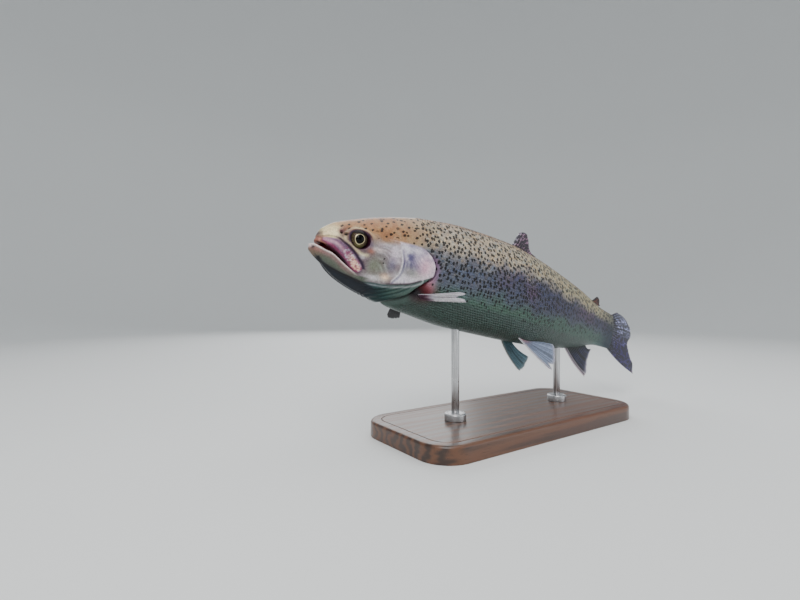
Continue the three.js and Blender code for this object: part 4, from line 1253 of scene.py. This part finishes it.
@dataclass
class ScaleCoat:
    """Small overlapping scales over the trunk, each a thin closed plate, in four joined pieces."""

    rows: int = 104
    longer: float = 1.25
    first: float = 84
    last: float = 443
    thick: float = 0.12
    behind_head: Points = (
        (-50, 88), (-44, 90), (-38, 94.5), (-32, 102), (-27, 111),
        (-20, 118), (-8, 118), (4, 116), (14, 101), (47, 96),
    )
    lateral_line: Points = ((112, 6), (162, 8), (218, 8.4), (292, 7.6), (401, 3.5), (446, 1))
    # A plate's rim and the middle of its top: share of a row's step back, of its width across, and height.
    rim: tuple[tuple[float, float, float], ...] = (
        (-0.75, -0.42, -0.14), (0.0, -0.68, 0.04), (0.6, -0.48, 0.2), (0.88, 0, 0.27),
        (0.6, 0.48, 0.2), (0.0, 0.68, 0.04), (-0.75, 0.42, -0.14),
    )
    crown: tuple[float, float, float] = (0.2, 0, 0.25)
    belly: tuple[float, float] = (-26, 8)
    belly_flat: float = 0.88
    full_width: float = 2.6
    baked_patch: float = 0.0015

    def roots(self, grid: SkinGrid) -> tuple[np.ndarray, np.ndarray, np.ndarray]:
        """Set out the scales' places in staggered rows.

        Args:
            grid: The sculpted skin.

        Returns:
            The station, the share of the way round and the row's width of each scale.
        """
        around = np.linalg.norm(np.roll(grid.points, -1, 1) - grid.points, axis=-1).sum(1)
        steps = [self.first]
        while steps[-1] < self.last:
            steps.append(steps[-1] + 0.5 * self.longer * np.interp(steps[-1], grid.rows, around) / self.rows)
        at, row = np.meshgrid(np.array(steps), np.arange(self.rows), indexing="ij")
        order = np.meshgrid(np.arange(len(steps)), np.arange(self.rows), indexing="ij")[0]
        kept = (order + row) % 2 == 0
        at, row = at[kept], row[kept]
        share = (row + 0.5) / self.rows
        width = np.interp(at, grid.rows, around) / self.rows
        place = grid.read("points", at, share)
        starts = np.array(self.behind_head)
        behind = place[:, 0] > np.interp(place[:, 2], starts[:, 0], starts[:, 1])
        return at[behind], share[behind], width[behind]

    def plates(self, grid: SkinGrid) -> tuple[np.ndarray, np.ndarray, np.ndarray, np.ndarray, np.ndarray]:
        """Shape and paint every scale.

        Args:
            grid: The sculpted skin.

        Returns:
            The points, tones, charts, marks and unwrapped places, each as one row a scale.
        """
        dice = np.random.default_rng(SEED)
        at, share, width = self.roots(grid)
        count = len(at)
        sides = len(self.rim)
        shape = np.array([*self.rim, self.crown, *self.rim])
        place = grid.read("points", at, share)
        low = 1 - self.belly_flat * (1 - ramp(place[:, 2:], *self.belly))
        stray = 2.2 - 1.2 * low
        turn = dice.normal(0, 0.05, (count, 1)) * stray
        back = shape[:, 0] + turn * shape[:, 1] + dice.normal(0, 0.04, (count, 1)) * stray
        across = shape[:, 1] - turn * shape[:, 0] + dice.normal(0, 0.03, (count, 1)) * stray
        lift = np.where(shape[:, 2] > 0.1, dice.uniform(0.75, 1.25, (count, 1)), 1)
        small = np.clip(width / self.full_width, 0.45, 1)[:, None]
        height = (shape[:, 2] * lift * low - np.repeat([0, self.thick], [sides + 1, sides])) * small
        stations = np.clip(at[:, None] + back * (width * self.longer)[:, None], 0, grid.rows[-1])
        rounds = share[:, None] + across / self.rows
        read = lambda key: grid.read(key, stations.ravel(), rounds.ravel())
        points = read("points") + unit(read("normals")) * height.ravel()[:, None]
        bright = 1 + dice.normal(0, 0.13, (count, 1)).clip(-0.35, 0.4) * (0.5 + 0.5 * low)
        # Painted highlight and shade: each plate lighter at its raised middle and rear, darker at its low
        # front and sides.
        bright = bright * np.where(shape[:, 2] > 0.15, 1.05, 0.97)
        line = np.array(self.lateral_line)
        pored = np.abs(place[:, 2] - np.interp(at, line[:, 0], line[:, 1])) < width * 0.5
        bright = bright * np.where(pored, 0.8, 1)[:, None]
        tone = read("tone") * bright.ravel()[:, None]
        cast = dice.normal(0, 1, (count, 1)) * np.ones(len(shape))
        high = ramp(np.repeat(place[:, 2], len(shape)), -24, 4)
        tone = tone * (1 + np.outer(cast.ravel() * high, [0.075, 0.02, -0.06]))
        marks = read("marks")
        marks[:, 2] *= bright.ravel() ** 3
        up = (np.interp(at, grid.rows, np.arange(len(grid.rows))) + 1) / (len(grid.rows) + 1)
        patch = shape[:, 1::-1] / np.abs(shape[:, 1::-1]).max(0) * self.baked_patch
        baked = np.stack([share, up], -1)[:, None] + patch
        pack = lambda values: values.reshape(count, len(shape), -1)
        return pack(points), pack(tone), pack(read("chart")), pack(marks), baked

    def faces(self) -> tuple[np.ndarray, np.ndarray]:
        """Give one plate's triangles and the four-cornered faces of its rim."""
        sides = len(self.rim)
        corner = np.arange(sides)
        nxt = (corner + 1) % sides
        below = sides + 1
        top = np.stack([np.full(sides, sides), corner, nxt], 1)
        under = np.stack([np.full(sides - 2, below), below + corner[2:], below + corner[1:-1]], 1)
        edge = np.stack([corner, below + corner, below + nxt, nxt], 1)
        return np.vstack([top, under]), edge

    def build(self, grid: SkinGrid, finish: bpy.types.Material) -> None:
        """Join the scales into four pieces and dress them.

        Args:
            grid: The sculpted skin.
            finish: The skin's own material.
        """
        points, tone, chart, marks, baked = self.plates(grid)
        triangles, quads = self.faces()
        quarter = (baked[:, -1, 0] * 4).astype(int).clip(0, 3)
        for index, name in enumerate(("left_low", "left_high", "right_high", "right_low")):
            mine = quarter == index
            count = int(mine.sum())
            shift = (np.arange(count) * points.shape[1])[:, None, None]
            groups = [(triangles + shift).reshape(-1, 3), (quads + shift).reshape(-1, 4)]
            flat = lambda values: values[mine].reshape(count * points.shape[1], -1)
            piece = mesh_object(f"scales_{name}", SPINE.bend(flat(points)), groups)
            colour_points(piece, flat(tone), flat(chart), flat(marks))
            sides = len(self.rim)
            smooth = np.tile([True] * sides + [False] * (sides - 2), count)
            smooth = np.concatenate([smooth, np.zeros(count * sides, bool)])
            piece.data.polygons.foreach_set("use_smooth", smooth)
            corners = np.concatenate([g.ravel() for g in groups])
            layer = piece.data.uv_layers.new(name="OFBake")
            layer.data.foreach_set("uv", flat(baked)[corners].astype(np.float32).ravel())
            settle(piece, "trout_skin", finish)


# ---- The fins ----


def mixed(start: Colour, end: Colour, share: np.ndarray) -> np.ndarray:
    """Blend between two screen colours."""
    share = share[..., None]
    return np.array(start) * (1 - share) + np.array(end) * share


@dataclass
class FinPaint:
    """A fin's screen colours: at its root, over its blade, along its leading edge and at its tips."""

    root: Colour
    blade: Colour
    leading: Colour
    tips: Colour
    leading_wide: float = 0.07
    tips_from: float = 0.9
    spots: float = 0.0
    gloss: float = 0.08
    trailing: Colour | None = None
    streaks: float = 0.2

    def tones(self, u: np.ndarray, v: np.ndarray) -> np.ndarray:
        """Give the colour at the ray u and the share v of the way out."""
        streak = np.sin(u * 47 + 2.1 * np.sin(u * 17 + 1)) * ramp(v, 0.1, 0.4)
        tone = mixed(self.root, self.blade, ramp(v, 0.06, 0.32)) * (1 + self.streaks * streak)[..., None]
        if self.trailing:
            share = (ramp(u, 0.4, 0.72) * ramp(v, 0.1, 0.4))[..., None]
            tone = tone * (1 - share) + np.array(self.trailing) * share
        front = 1 - ramp(u, 0.4 * self.leading_wide, self.leading_wide)
        for colour, cover in ((self.tips, ramp(v, self.tips_from, 1)), (self.leading, front)):
            tone = tone * (1 - cover[..., None]) + np.array(colour) * cover[..., None]
        return tone


@dataclass
class FinBlade:
    """A fin: a fan of branching rays in a thin web, between a root line and a worn edge."""

    name: str
    root: Callable[[np.ndarray], np.ndarray]
    tip: Callable[[np.ndarray], np.ndarray]
    paint: FinPaint
    rays: int = 12
    sideways: np.ndarray = field(default_factory=lambda: np.array([0.0, 1.0, 0.0]))
    sweep: Callable[[np.ndarray], np.ndarray] = lambda u: 0 * u
    bow: Callable[[np.ndarray, np.ndarray], np.ndarray] = lambda u, v: 0 * u * v
    thick: float = 2.2
    edge: float = 0.7
    sunk: float = 3
    fray: float = 0.035
    per_ray: int = 8
    steps: int = 40

    def rib(self, u: np.ndarray, v: np.ndarray) -> np.ndarray:
        """Give how much of a ray there is: 1 on a ray, 0 in the web; each ray forks on its way out."""
        if self.rays < 2:
            return np.ones(np.broadcast(u, v).shape)
        single = np.abs(np.cos(math.pi * self.rays * u)) ** 3
        forked = np.abs(np.cos(2 * math.pi * self.rays * u + 0.6)) ** 3
        share = ramp(v, 0.38, 0.62) * ramp(u, 0.02, 0.1)
        return single * (1 - share) + forked * share

    def blade(self, u: np.ndarray, v: np.ndarray) -> np.ndarray:
        """Lay out the middle of the blade, one row of points a ray."""
        dice = np.random.default_rng(SEED + len(self.name))
        start, end = self.root(u[:, 0]), self.tip(u[:, 0])
        worn = np.interp(u[:, 0], np.linspace(0, 1, self.rays + 1), dice.uniform(-1, 1, self.rays + 1))
        web = 1 - self.rib(u[:, 0], np.ones(len(u)))
        end = end - (end - start) * (self.fray * (0.5 + 0.5 * worn + 0.6 * web))[:, None] * (self.rays > 1)
        along = unit(end - start)
        start = start - along * self.sunk
        forward = self.root(np.zeros(1)) - self.root(np.ones(1))
        leading = unit(forward - along * (along * forward).sum(-1, keepdims=True))
        points = start[:, None] + (end - start)[:, None] * v[..., None]
        points = points + leading[:, None] * (self.sweep(u) * np.sin(math.pi * v))[..., None]
        return points + self.sideways * self.bow(u, v)[..., None]

    def build(self, finish: bpy.types.Material) -> None:
        """Make the fin's mesh and dress it."""
        rows = max(self.rays, 6) * self.per_ray + 1
        u, v = np.linspace(0, 1, rows)[:, None], np.linspace(0, 1, self.steps + 1)[None, :]
        middle = self.blade(u, v)
        rib = self.rib(u, v)
        half = (self.thick + (self.edge - self.thick) * v) / 2 * (0.4 + 0.6 * rib)
        ends = np.sqrt(0.15 + 0.85 * np.minimum(1, 24 * u * (1 - u)))
        round_off = np.sqrt(1 - 0.94 * ramp(v, 0.955, 1.0)) * ends
        half = np.maximum(half * round_off, 0.06)[..., None] * self.sideways
        points = np.concatenate([middle + half, (middle - half)[:, ::-1]], 1)
        columns = points.shape[1]
        row = np.arange(self.steps)
        cap = np.stack([row, row + 1, columns - 2 - row, columns - 1 - row], 1)
        groups = [grid_faces(rows, columns, True), cap[:, ::-1], cap + (rows - 1) * columns]
        flat = points.reshape(-1, 3)
        if self.inside_out(flat, groups):
            groups = [g[:, ::-1] for g in groups]
        both = lambda values: np.concatenate([values, values[:, ::-1]], 1).reshape(len(flat), -1)
        piece = mesh_object(f"{self.name}_rays", SPINE.bend(flat), groups)
        long = np.linalg.norm(middle - middle[:, :1], axis=-1)
        wide = np.linalg.norm(middle[-1, [0, -1]] - middle[0, [0, -1]], axis=-1).mean()
        chart = np.stack([u * wide + 0 * v, long, 0 * long], -1)
        tone = linear(self.paint.tones(u + 0 * v, v + 0 * u))
        strength = self.paint.spots * ramp(v, 0.02, 0.12) + 0 * u
        marks = np.stack([strength, rib, np.full(rib.shape, self.paint.gloss)], -1)
        colour_points(piece, both(tone), both(chart), both(marks))
        settle(piece, "trout_fins", finish, self.name)

    def inside_out(self, points: np.ndarray, groups: Sequence[np.ndarray]) -> bool:
        """Tell whether the faces point inwards."""
        a, b, c, d = (points[groups[0][:, k]] for k in range(4))
        volume = (np.cross(a, b) * c).sum() + (np.cross(a, c) * d).sum()
        return volume < 0


def in_line(at: np.ndarray, height: np.ndarray) -> np.ndarray:
    """Give points in the fish's middle plane."""
    return np.stack([at, 0 * at, height], -1)


@dataclass
class MiddleFins:
    """The fins in the fish's middle plane: on the back, before the tail, under it, and the tail fin."""

    dorsal: tuple[float, float] = (231, 270)
    dorsal_tall: tuple[float, float] = (25, 4)
    adipose: tuple[float, float] = (392, 405)
    adipose_long: tuple[float, float] = (16, 13)
    anal: tuple[float, float] = (350, 394)
    anal_tip: tuple[float, float] = (402, -69)
    anal_last: tuple[float, float] = (403, -31)
    tail_root_at: float = 438
    tail_root: tuple[float, float] = (19, -22)
    tail_edge: Points = (
        (489, 34), (500, 31), (508, 23), (511, 14), (509, 5), (496, -8), (506, -24), (517, -34), (522, -48),
    )
    curl: float = 17

    def lean(self, at: np.ndarray, sunk: float, lean: np.ndarray, long: np.ndarray) -> np.ndarray:
        """Give the tips of rays that lean back from the line of the back."""
        root = in_line(at, BODY.curve(1, at) - sunk)
        return root + in_line(np.sin(lean) * long, np.cos(lean) * long)

    def dorsal_fin(self) -> FinBlade:
        """Shape the fin on the back, worn low behind."""
        at = lambda u: self.dorsal[0] + (self.dorsal[1] - self.dorsal[0]) * u
        tall, low = self.dorsal_tall
        long = lambda u: low + (tall - low) * bump(u, 0.18, 0.36)
        tip = lambda u: self.lean(at(u), 0, np.radians(26 + 24 * u), long(u))
        paint = FinPaint((150, 100, 84), (150, 116, 140), (226, 218, 232), (206, 194, 216), 0.1, 0.92, 1.55)
        return FinBlade("dorsal_fin", lambda u: self.lean(at(u), 0, 0 * u, 0 * u), tip, paint, rays=12)

    def adipose_fin(self) -> FinBlade:
        """Shape the small soft fin before the tail."""
        at = lambda u: self.adipose[0] + (self.adipose[1] - self.adipose[0]) * u
        full = lambda u: 0.62 + 0.38 * np.sin(math.pi * np.minimum(1, u + 0.28))
        long = lambda u: (self.adipose_long[0] + (self.adipose_long[1] - self.adipose_long[0]) * u) * full(u)
        tip = lambda u: self.lean(at(u), 1, np.radians(52 + 26 * u), long(u))
        paint = FinPaint((104, 62, 40), (82, 34, 18), (30, 18, 14), (12, 8, 8), 0.12, 0.7, 1.0)
        root = lambda u: self.lean(at(u), 1, 0 * u, 0 * u)
        return FinBlade("adipose_fin", root, tip, paint, rays=1, thick=4, edge=2.0)

    def anal_fin(self) -> FinBlade:
        """Shape the fin under the tail, pale along its front and at its tip."""
        root_at = lambda u: self.anal[0] + (self.anal[1] - self.anal[0]) * u
        root = lambda u: in_line(root_at(u), -BODY.curve(2, root_at(u)))
        blunt = lambda u: 3 - 5 * bump(u, 0, 0.08) - 4 * np.sin(math.pi * u)
        tip_at = lambda u: self.anal_tip[0] + (self.anal_last[0] - self.anal_tip[0]) * u + blunt(u)
        height = lambda u: self.anal_tip[1] + (self.anal_last[1] - self.anal_tip[1]) * u**0.9
        tip = lambda u: in_line(tip_at(u), height(u))
        colours = (40, 50, 50), (36, 38, 64), (196, 182, 190), (220, 214, 226)
        paint = FinPaint(*colours, 0.11, 0.82, 0.3, streaks=0.55)
        return FinBlade("anal_fin", root, tip, paint, rays=13, sweep=lambda u: 2.6 + 0 * u)

    def tail_fin(self) -> FinBlade:
        """Shape the tail fin, its worn upper lobe curled to the fish's right."""
        edge = through(self.tail_edge, 24)
        run = np.concatenate([[0], np.cumsum(np.hypot(*np.diff(edge, axis=0).T))])
        run = run / run[-1]
        tip = lambda u: in_line(np.interp(u, run, edge[:, 0]), np.interp(u, run, edge[:, 1]))
        top, bottom = self.tail_root
        root = lambda u: in_line(self.tail_root_at + 4 * np.sin(math.pi * u), top + (bottom - top) * u)
        paint = FinPaint(
            (78, 82, 88), (146, 150, 190), (110, 100, 120), (190, 184, 214), 0.03, 0.9, 1.45,
            trailing=(62, 48, 120), streaks=0.34,
        )
        return FinBlade(
            "caudal_fin", root, tip, paint, rays=19, thick=4.4, edge=0.7, sunk=0, steps=56, fray=0.03,
            sweep=lambda u: 3 * (1 - 2 * u),
            bow=lambda u, v: self.curl * v * v * np.maximum(0, 1 - u / 0.55) ** 1.4,
        )


@dataclass
class PairedFin:
    """A pelvic or pectoral fin on one side of the fish."""

    name: str
    side: Side
    root_from: tuple[float, float]
    root_to: tuple[float, float]
    first: tuple[float, float, float]
    last: tuple[float, float, float]
    long: Callable[[np.ndarray], np.ndarray]
    spread: float
    paint: FinPaint
    rays: int = 11
    sweep: float = 0
    sunk: float = 3
    lift: float = 0

    def shape(self) -> FinBlade:
        """Shape the fin."""
        side = self.side.value
        sign = np.array([1, -side, 1])
        first, last = np.array(self.first) * sign, np.array(self.last) * sign

        def root(u: np.ndarray) -> np.ndarray:
            """Give the line where the fin leaves the flank."""
            at = self.root_from[0] + (self.root_to[0] - self.root_from[0]) * u
            height = self.root_from[1] + (self.root_to[1] - self.root_from[1]) * u
            return np.stack([at, -side * (BODY.flank(at, height) - 0.5), height], -1)

        way = lambda u: unit(first + (last - first) * u[:, None])
        tip = lambda u: root(u) + way(u) * self.long(u)[:, None]
        ends = np.array([0.0, 1.0])
        rim = np.diff(root(ends), axis=0)[0] + np.diff(way(ends), axis=0)[0] * self.spread
        sideways = unit(np.cross(way(ends)[0], rim))
        sideways = sideways * np.sign(-side * sideways[1])
        return FinBlade(
            self.name, root, tip, self.paint, rays=self.rays, sideways=sideways, thick=2.4, edge=0.6,
            sweep=lambda u: self.sweep + 0 * u, fray=0.045, sunk=self.sunk,
            bow=lambda u, v: self.lift * (ramp(v, 0.02, 0.3) - v) + 0 * u,
        )


def paired_fins() -> list[PairedFin]:
    """Give the four paired fins, each in its own pose."""
    pale = FinPaint((92, 56, 78), (244, 236, 242), (250, 246, 252), (220, 210, 224), 0.1, 0.92)
    # Painted shade: the far pectoral fin, under the belly, painted near black; the near one is pale.
    shaded_far_pectoral = FinPaint((44, 34, 40), (14, 18, 26), (52, 50, 56), (18, 20, 28), 0.05, 0.92)
    near = FinPaint((176, 142, 152), (142, 156, 182), (246, 242, 248), (212, 212, 228), 0.13, 0.88)
    far = FinPaint((82, 116, 114), (104, 146, 160), (214, 218, 212), (176, 196, 200), 0.12, 0.9)
    folded = lambda u: 43 - 4 * bump(u, 0, 0.08) - 11 * bump(u, 0.5, 0.16) - 3 * u * u
    whole = lambda u: 43 - 4 * bump(u, 0, 0.08) - 9 * u * u
    left_long = lambda u: 55 - 4 * bump(u, 0, 0.05) - 18 * u**1.5 - 5 * bump(u, 0.2, 0.06)
    right_long = lambda u: 55 - 4 * bump(u, 0, 0.05) - 13 * u**1.5
    shoulder = {"root_from": (107, -26), "root_to": (113.5, -30.5), "spread": 30, "sunk": 5, "lift": 3}
    hip = {"root_from": (248.5, -43.2), "root_to": (264, -44.5), "spread": 40, "sweep": 2.4}
    return [
        PairedFin(f"{kind}_fin_{side.name.lower()}", side, first=a, last=b, long=long, paint=paint, **root)
        for kind, side, a, b, long, paint, root in (
            ("pectoral", Side.LEFT, (39, 11, 10.5), (38, 12, 6), folded, pale, shoulder),
            ("pectoral", Side.RIGHT, (13, 33, -20), (20, 29, -18), whole, shaded_far_pectoral, shoulder),
            ("pelvic", Side.LEFT, (42.5, 13.6, -28.5), (37.5, 10, 3), left_long, near, hip),
            ("pelvic", Side.RIGHT, (38, 0, -33.5), (38, 3, -14), right_long, far, hip),
        )
    ]


# ---- The eyes ----


@dataclass
class Eye:
    """A flattened eyeball with a lens that bulges through its pupil."""

    side: Side
    radius: float = 8.3
    flat: float = 0.82
    bulge: float = 2.3
    pupil: float = 3.75
    pupil_at: tuple[float, float] = (-1.6, -0.4)
    lens: float = 0.3
    moat: float = 0.14
    notch: float = 0.13
    notch_way: float = -0.56 * math.pi
    around: tuple[int, int] = (72, 48)

    def build(self, finish: bpy.types.Material) -> None:
        """Make the eye and dress it."""
        side, which = self.side.value, self.side.name.lower()
        turned = (math.pi / 2, 0, 0)
        segments, rings = self.around
        bpy.ops.object.select_all(action="DESELECT")
        bpy.ops.mesh.primitive_uv_sphere_add(
            segments=segments, ring_count=rings, radius=self.radius, rotation=turned
        )
        bpy.ops.object.transform_apply(location=False, rotation=True, scale=False)
        piece = bpy.context.object
        piece.name = piece.data.name = f"eyeball_{which}"
        points = np.zeros(len(piece.data.vertices) * 3)
        piece.data.vertices.foreach_get("co", points)
        points = points.reshape(-1, 3)
        x, z = points[:, 0] - self.pupil_at[0], points[:, 2] - self.pupil_at[1]
        ring = np.hypot(x, z)
        off = np.angle(np.exp(1j * (np.arctan2(z, x) - self.notch_way)))
        share = ring / self.pupil / (1 + self.notch * bump(off, 0, 0.5))
        outer = points[:, 1] * -side > 0
        lens = self.lens * (1 - ramp(share, 0.2, 1.0)) - self.moat * bump(share, 1.06, 0.08)
        points[:, 1] = points[:, 1] * self.flat - side * lens * outer
        eye = HeadLines.eye
        flank = float(BODY.flank(np.array(float(eye[0])), np.array(float(eye[1]))))
        out = flank + self.bulge - self.radius * self.flat
        placed = points + [eye[0], -side * out, eye[1]]
        piece.data.vertices.foreach_set("co", SPINE.bend(placed).astype(np.float32).ravel())
        piece.data.update()
        bpy.ops.object.shade_smooth()
        chart = np.stack([x / self.pupil, z / self.pupil, np.where(outer, share, 3)], 1)
        colour_points(piece, np.zeros((len(points), 3)), chart, np.zeros((len(points), 3)))
        settle(piece, "trout_eyes", finish, f"eye_{which}")


# ---- The stand ----


@dataclass
class Stand:
    """The walnut base and its two steel rods with their collars."""

    corner: float = 0.030
    edge: float = 0.003
    groove: tuple[float, float, float] = (0.0075, 0.0006, 0.0008)
    rod_into_belly: float = 0.0006
    rod_edge: float = 0.0005
    collar_edge: float = 0.0015
    collar_groove: tuple[float, float, float] = (0.0022, 0.0004, 0.0005)
    near: float = 1e-5
    flat_face: float = 0.99
    smooth_to: float = math.radians(35)
    pair: tuple[str, str] = ("front", "rear")

    def start(self, name: str) -> bpy.types.Object:
        """Name the primitive just added and put its place in its mesh."""
        bpy.ops.object.transform_apply(location=True, rotation=True, scale=True)
        piece = bpy.context.object
        piece.name = piece.data.name = name
        return piece

    def pick(self, piece: bpy.types.Object, domain: str, wanted: Callable[[object], bool]) -> None:
        """Select only the wanted edges or faces of a piece, and enter edit mode on them."""
        bpy.ops.object.mode_set(mode="EDIT")
        bpy.ops.mesh.select_mode(type="EDGE" if domain == "edges" else "FACE")
        bpy.ops.mesh.select_all(action="DESELECT")
        bpy.ops.object.mode_set(mode="OBJECT")
        for item in getattr(piece.data, domain):
            item.select = wanted(item)
        bpy.ops.object.mode_set(mode="EDIT")

    def bevel(
        self, piece: bpy.types.Object, offset: float, segments: int, wanted: Callable[[list], bool]
    ) -> None:
        """Round some edges of a piece.

        Args:
            piece: The piece.
            offset: How far in the rounding starts, in metres.
            segments: How many facets it has.
            wanted: Tells from the two ends of an edge whether it is rounded.
        """
        ends = lambda edge: [piece.data.vertices[v].co for v in edge.vertices]
        self.pick(piece, "edges", lambda edge: wanted(ends(edge)))
        bpy.ops.mesh.bevel(offset=offset, segments=segments, affect="EDGES")
        bpy.ops.object.mode_set(mode="OBJECT")

    def cut_groove(
        self, piece: bpy.types.Object, groove: tuple[float, float, float], least: float = 0
    ) -> None:
        """Press a groove into the top of a piece.

        Args:
            piece: The piece.
            groove: The groove's distance from the rim, half its width and its depth.
            least: The top face is larger than this, in square metres.
        """
        margin, half, deep = groove
        self.pick(piece, "polygons", lambda f: f.normal.z > self.flat_face and f.area > least)
        bpy.ops.mesh.inset(thickness=margin)
        for depth in (-deep, deep):
            bpy.ops.mesh.inset(thickness=half, depth=depth)
        bpy.ops.object.mode_set(mode="OBJECT")

    def cylinder(self, name: str, sides: int, low: Vector, high: Vector) -> bpy.types.Object:
        """Add an upright cylinder that fills a box.

        Args:
            name: Its name.
            sides: How many sides it has.
            low: The box's lowest corner.
            high: The box's highest corner.

        Returns:
            The cylinder.
        """
        bpy.ops.object.select_all(action="DESELECT")
        size = {"radius": (high.x - low.x) / 2, "depth": high.z - low.z}
        bpy.ops.mesh.primitive_cylinder_add(vertices=sides, location=(low + high) / 2, **size)
        return self.start(name)

    def hand_over(self, piece: bpy.types.Object, slot: str, finish: bpy.types.Material, node: str) -> None:
        """Shade a finished piece and dress it.

        Args:
            piece: The piece.
            slot: The record's material slot.
            finish: Its material.
            node: The part that it stands in for.
        """
        bpy.ops.object.shade_smooth_by_angle(angle=self.smooth_to)
        settle(piece, slot, finish, node)

    def base(self, finish: bpy.types.Material) -> None:
        """Make the base, with a fine groove round its top."""
        low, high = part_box("stand_base")
        bpy.ops.object.select_all(action="DESELECT")
        bpy.ops.mesh.primitive_cube_add(size=1, location=(low + high) / 2)
        bpy.context.object.scale = high - low
        piece = self.start("stand_base_walnut")
        self.bevel(piece, self.corner, 14, lambda ends: abs(ends[0].z - ends[1].z) > (high.z - low.z) / 2)
        self.bevel(piece, self.edge, 5, lambda ends: all(p.z > high.z - self.near for p in ends))
        self.cut_groove(piece, self.groove, least=0.01)
        self.hand_over(piece, "stand_wood", finish, "stand_base")

    def rod(self, which: str, finish: bpy.types.Material) -> None:
        """Make the front or rear rod, from its socket up into the belly."""
        low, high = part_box(f"stand_rod_{which}")
        top = high + Vector((0, 0, self.rod_into_belly))
        piece = self.cylinder(f"stand_rod_{which}_steel", 64, low, top)
        self.bevel(piece, self.rod_edge, 2, lambda ends: all(p.z < low.z + self.near for p in ends))
        self.hand_over(piece, "stand_steel", finish, f"stand_rod_{which}")

    def collar(self, which: str, finish: bpy.types.Material) -> None:
        """Make the collar at a rod's foot, with a turned groove."""
        low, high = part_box(f"stand_collar_{which}")
        piece = self.cylinder(f"stand_collar_{which}_steel", 72, low, high)
        self.cut_groove(piece, self.collar_groove)
        wide, centre = (high.x - low.x) / 2 * 0.98, (low + high) / 2
        on_rim = lambda p: p.z > high.z - self.near and math.hypot(p.x - centre.x, p.y - centre.y) > wide
        self.bevel(piece, self.collar_edge, 4, lambda ends: all(on_rim(p) for p in ends))
        self.hand_over(piece, "stand_steel", finish, f"stand_collar_{which}")

    def build(self) -> None:
        """Make the whole stand."""
        self.base(WoodFinish("oiled_walnut").make())
        along = SteelFinish("brushed_rod", (2400, 2400, 40)).make()
        turned = SteelFinish("turned_collar", (700, 700, 3000)).make()
        for which in self.pair:
            self.rod(which, along)
            self.collar(which, turned)


# ---- The studio ----


@dataclass(frozen=True)
class Softbox:
    """A square area light that points at the fish."""

    name: str
    place: tuple[float, float, float]
    size: float
    power: float
    colour: tuple[float, float, float] = (1, 1, 1)

    def build(self, aim: Vector) -> None:
        """Add the light."""
        data = bpy.data.lights.new(self.name, "AREA")
        data.size = self.size
        data.energy = self.power
        data.color = self.colour
        light = bpy.data.objects.new(self.name, data)
        light.location = self.place
        light.rotation_euler = (aim - Vector(self.place)).to_track_quat("-Z", "Y").to_euler()
        bpy.context.scene.collection.objects.link(light)


@dataclass
class Studio:
    """A pale floor that curves up into a wall all round, soft lights and the camera."""

    rings: tuple[float, float] = (0.02, 0.8)
    floor_radius: float = 1.7
    around: int = 96
    sweep: float = 0.9
    sweep_points: int = 16
    wall: float = 2.2
    camera_at: tuple[float, float, float] = (-0.38678, -0.34902, 0.13700)
    camera_way: tuple[float, float, float] = (0.569, 0.8223, 0)
    lens: float = 20.68
    sensor: float = 36
    aim: tuple[float, float, float] = (0, 0, 0.14)
    lights: tuple[Softbox, ...] = (
        Softbox("key", (-0.75, -0.75, 1.15), 0.9, 15, (1, 0.985, 0.96)),
        Softbox("overhead", (0.15, 0.1, 1.5), 1.5, 12),
        Softbox("fill", (0.7, -1.1, 0.35), 1.1, 4.5, (0.94, 0.97, 1)),
        Softbox("behind", (0.5, 1.2, 0.8), 1.0, 7),
    )
    ambient: float = 0.42
    ambient_tint: Colour = (0.9, 0.95, 1)
    clip: tuple[float, float] = (0.01, 20)

    def room(self) -> None:
        """Make the floor and the wall round it."""
        lean = np.linspace(0, math.pi / 2, self.sweep_points)
        out = np.concatenate([self.rings, self.floor_radius + self.sweep * np.sin(lean)])
        up = np.concatenate([[0, 0], self.sweep * (1 - np.cos(lean))])
        out, up = np.append(out, out[-1]), np.append(up, self.wall)
        turn = np.linspace(0, 2 * math.pi, self.around, endpoint=False)
        ring = np.stack([np.cos(turn), np.sin(turn), 0 * turn], 1)
        points = (ring[None] * out[:, None, None] + np.array([0, 0, 1]) * up[:, None, None]).reshape(-1, 3)
        faces = [grid_faces(len(out), self.around, True)[:, ::-1], np.arange(self.around)[None]]
        piece = mesh_object("room", points, faces)
        piece.data.materials.append(RoomFinish().make())

    def build(self) -> None:
        """Set up the room, the lights and the camera."""
        self.room()
        for light in self.lights:
            light.build(Vector(self.aim))
        world = bpy.data.worlds.new("studio")
        bpy.context.scene.world = world
        world.use_nodes = True
        background = world.node_tree.nodes["Background"]
        background.inputs["Color"].default_value = (*self.ambient_tint, 1)
        background.inputs["Strength"].default_value = self.ambient
        data = bpy.data.cameras.new("camera")
        data.sensor_width = self.sensor
        data.lens = self.lens
        data.clip_start, data.clip_end = self.clip
        camera = bpy.data.objects.new("camera", data)
        camera.location = self.camera_at
        camera.rotation_euler = Vector(self.camera_way).to_track_quat("-Z", "Y").to_euler()
        bpy.context.scene.collection.objects.link(camera)
        bpy.context.scene.camera = camera


def main() -> None:
    """Build the trout, its stand and the studio."""
    logging.basicConfig(level=logging.INFO, format="%(name)s %(message)s")
    Studio().build()
    skin = TroutSkin()
    grid = skin.grid()
    body = skin.build(grid, SkinFinish("trout_skin"))
    ScaleCoat().build(grid, body.data.materials[0])
    fins = FinFinish("trout_fins").make()
    middle = MiddleFins()
    for blade in (middle.dorsal_fin(), middle.adipose_fin(), middle.anal_fin(), middle.tail_fin()):
        blade.build(fins)
    for fin in paired_fins():
        fin.shape().build(fins)
    eyes = EyeFinish("trout_eyes").make()
    for side in Side:
        Eye(side).build(eyes)
    Stand().build()


if __name__ == "__main__":
    main()
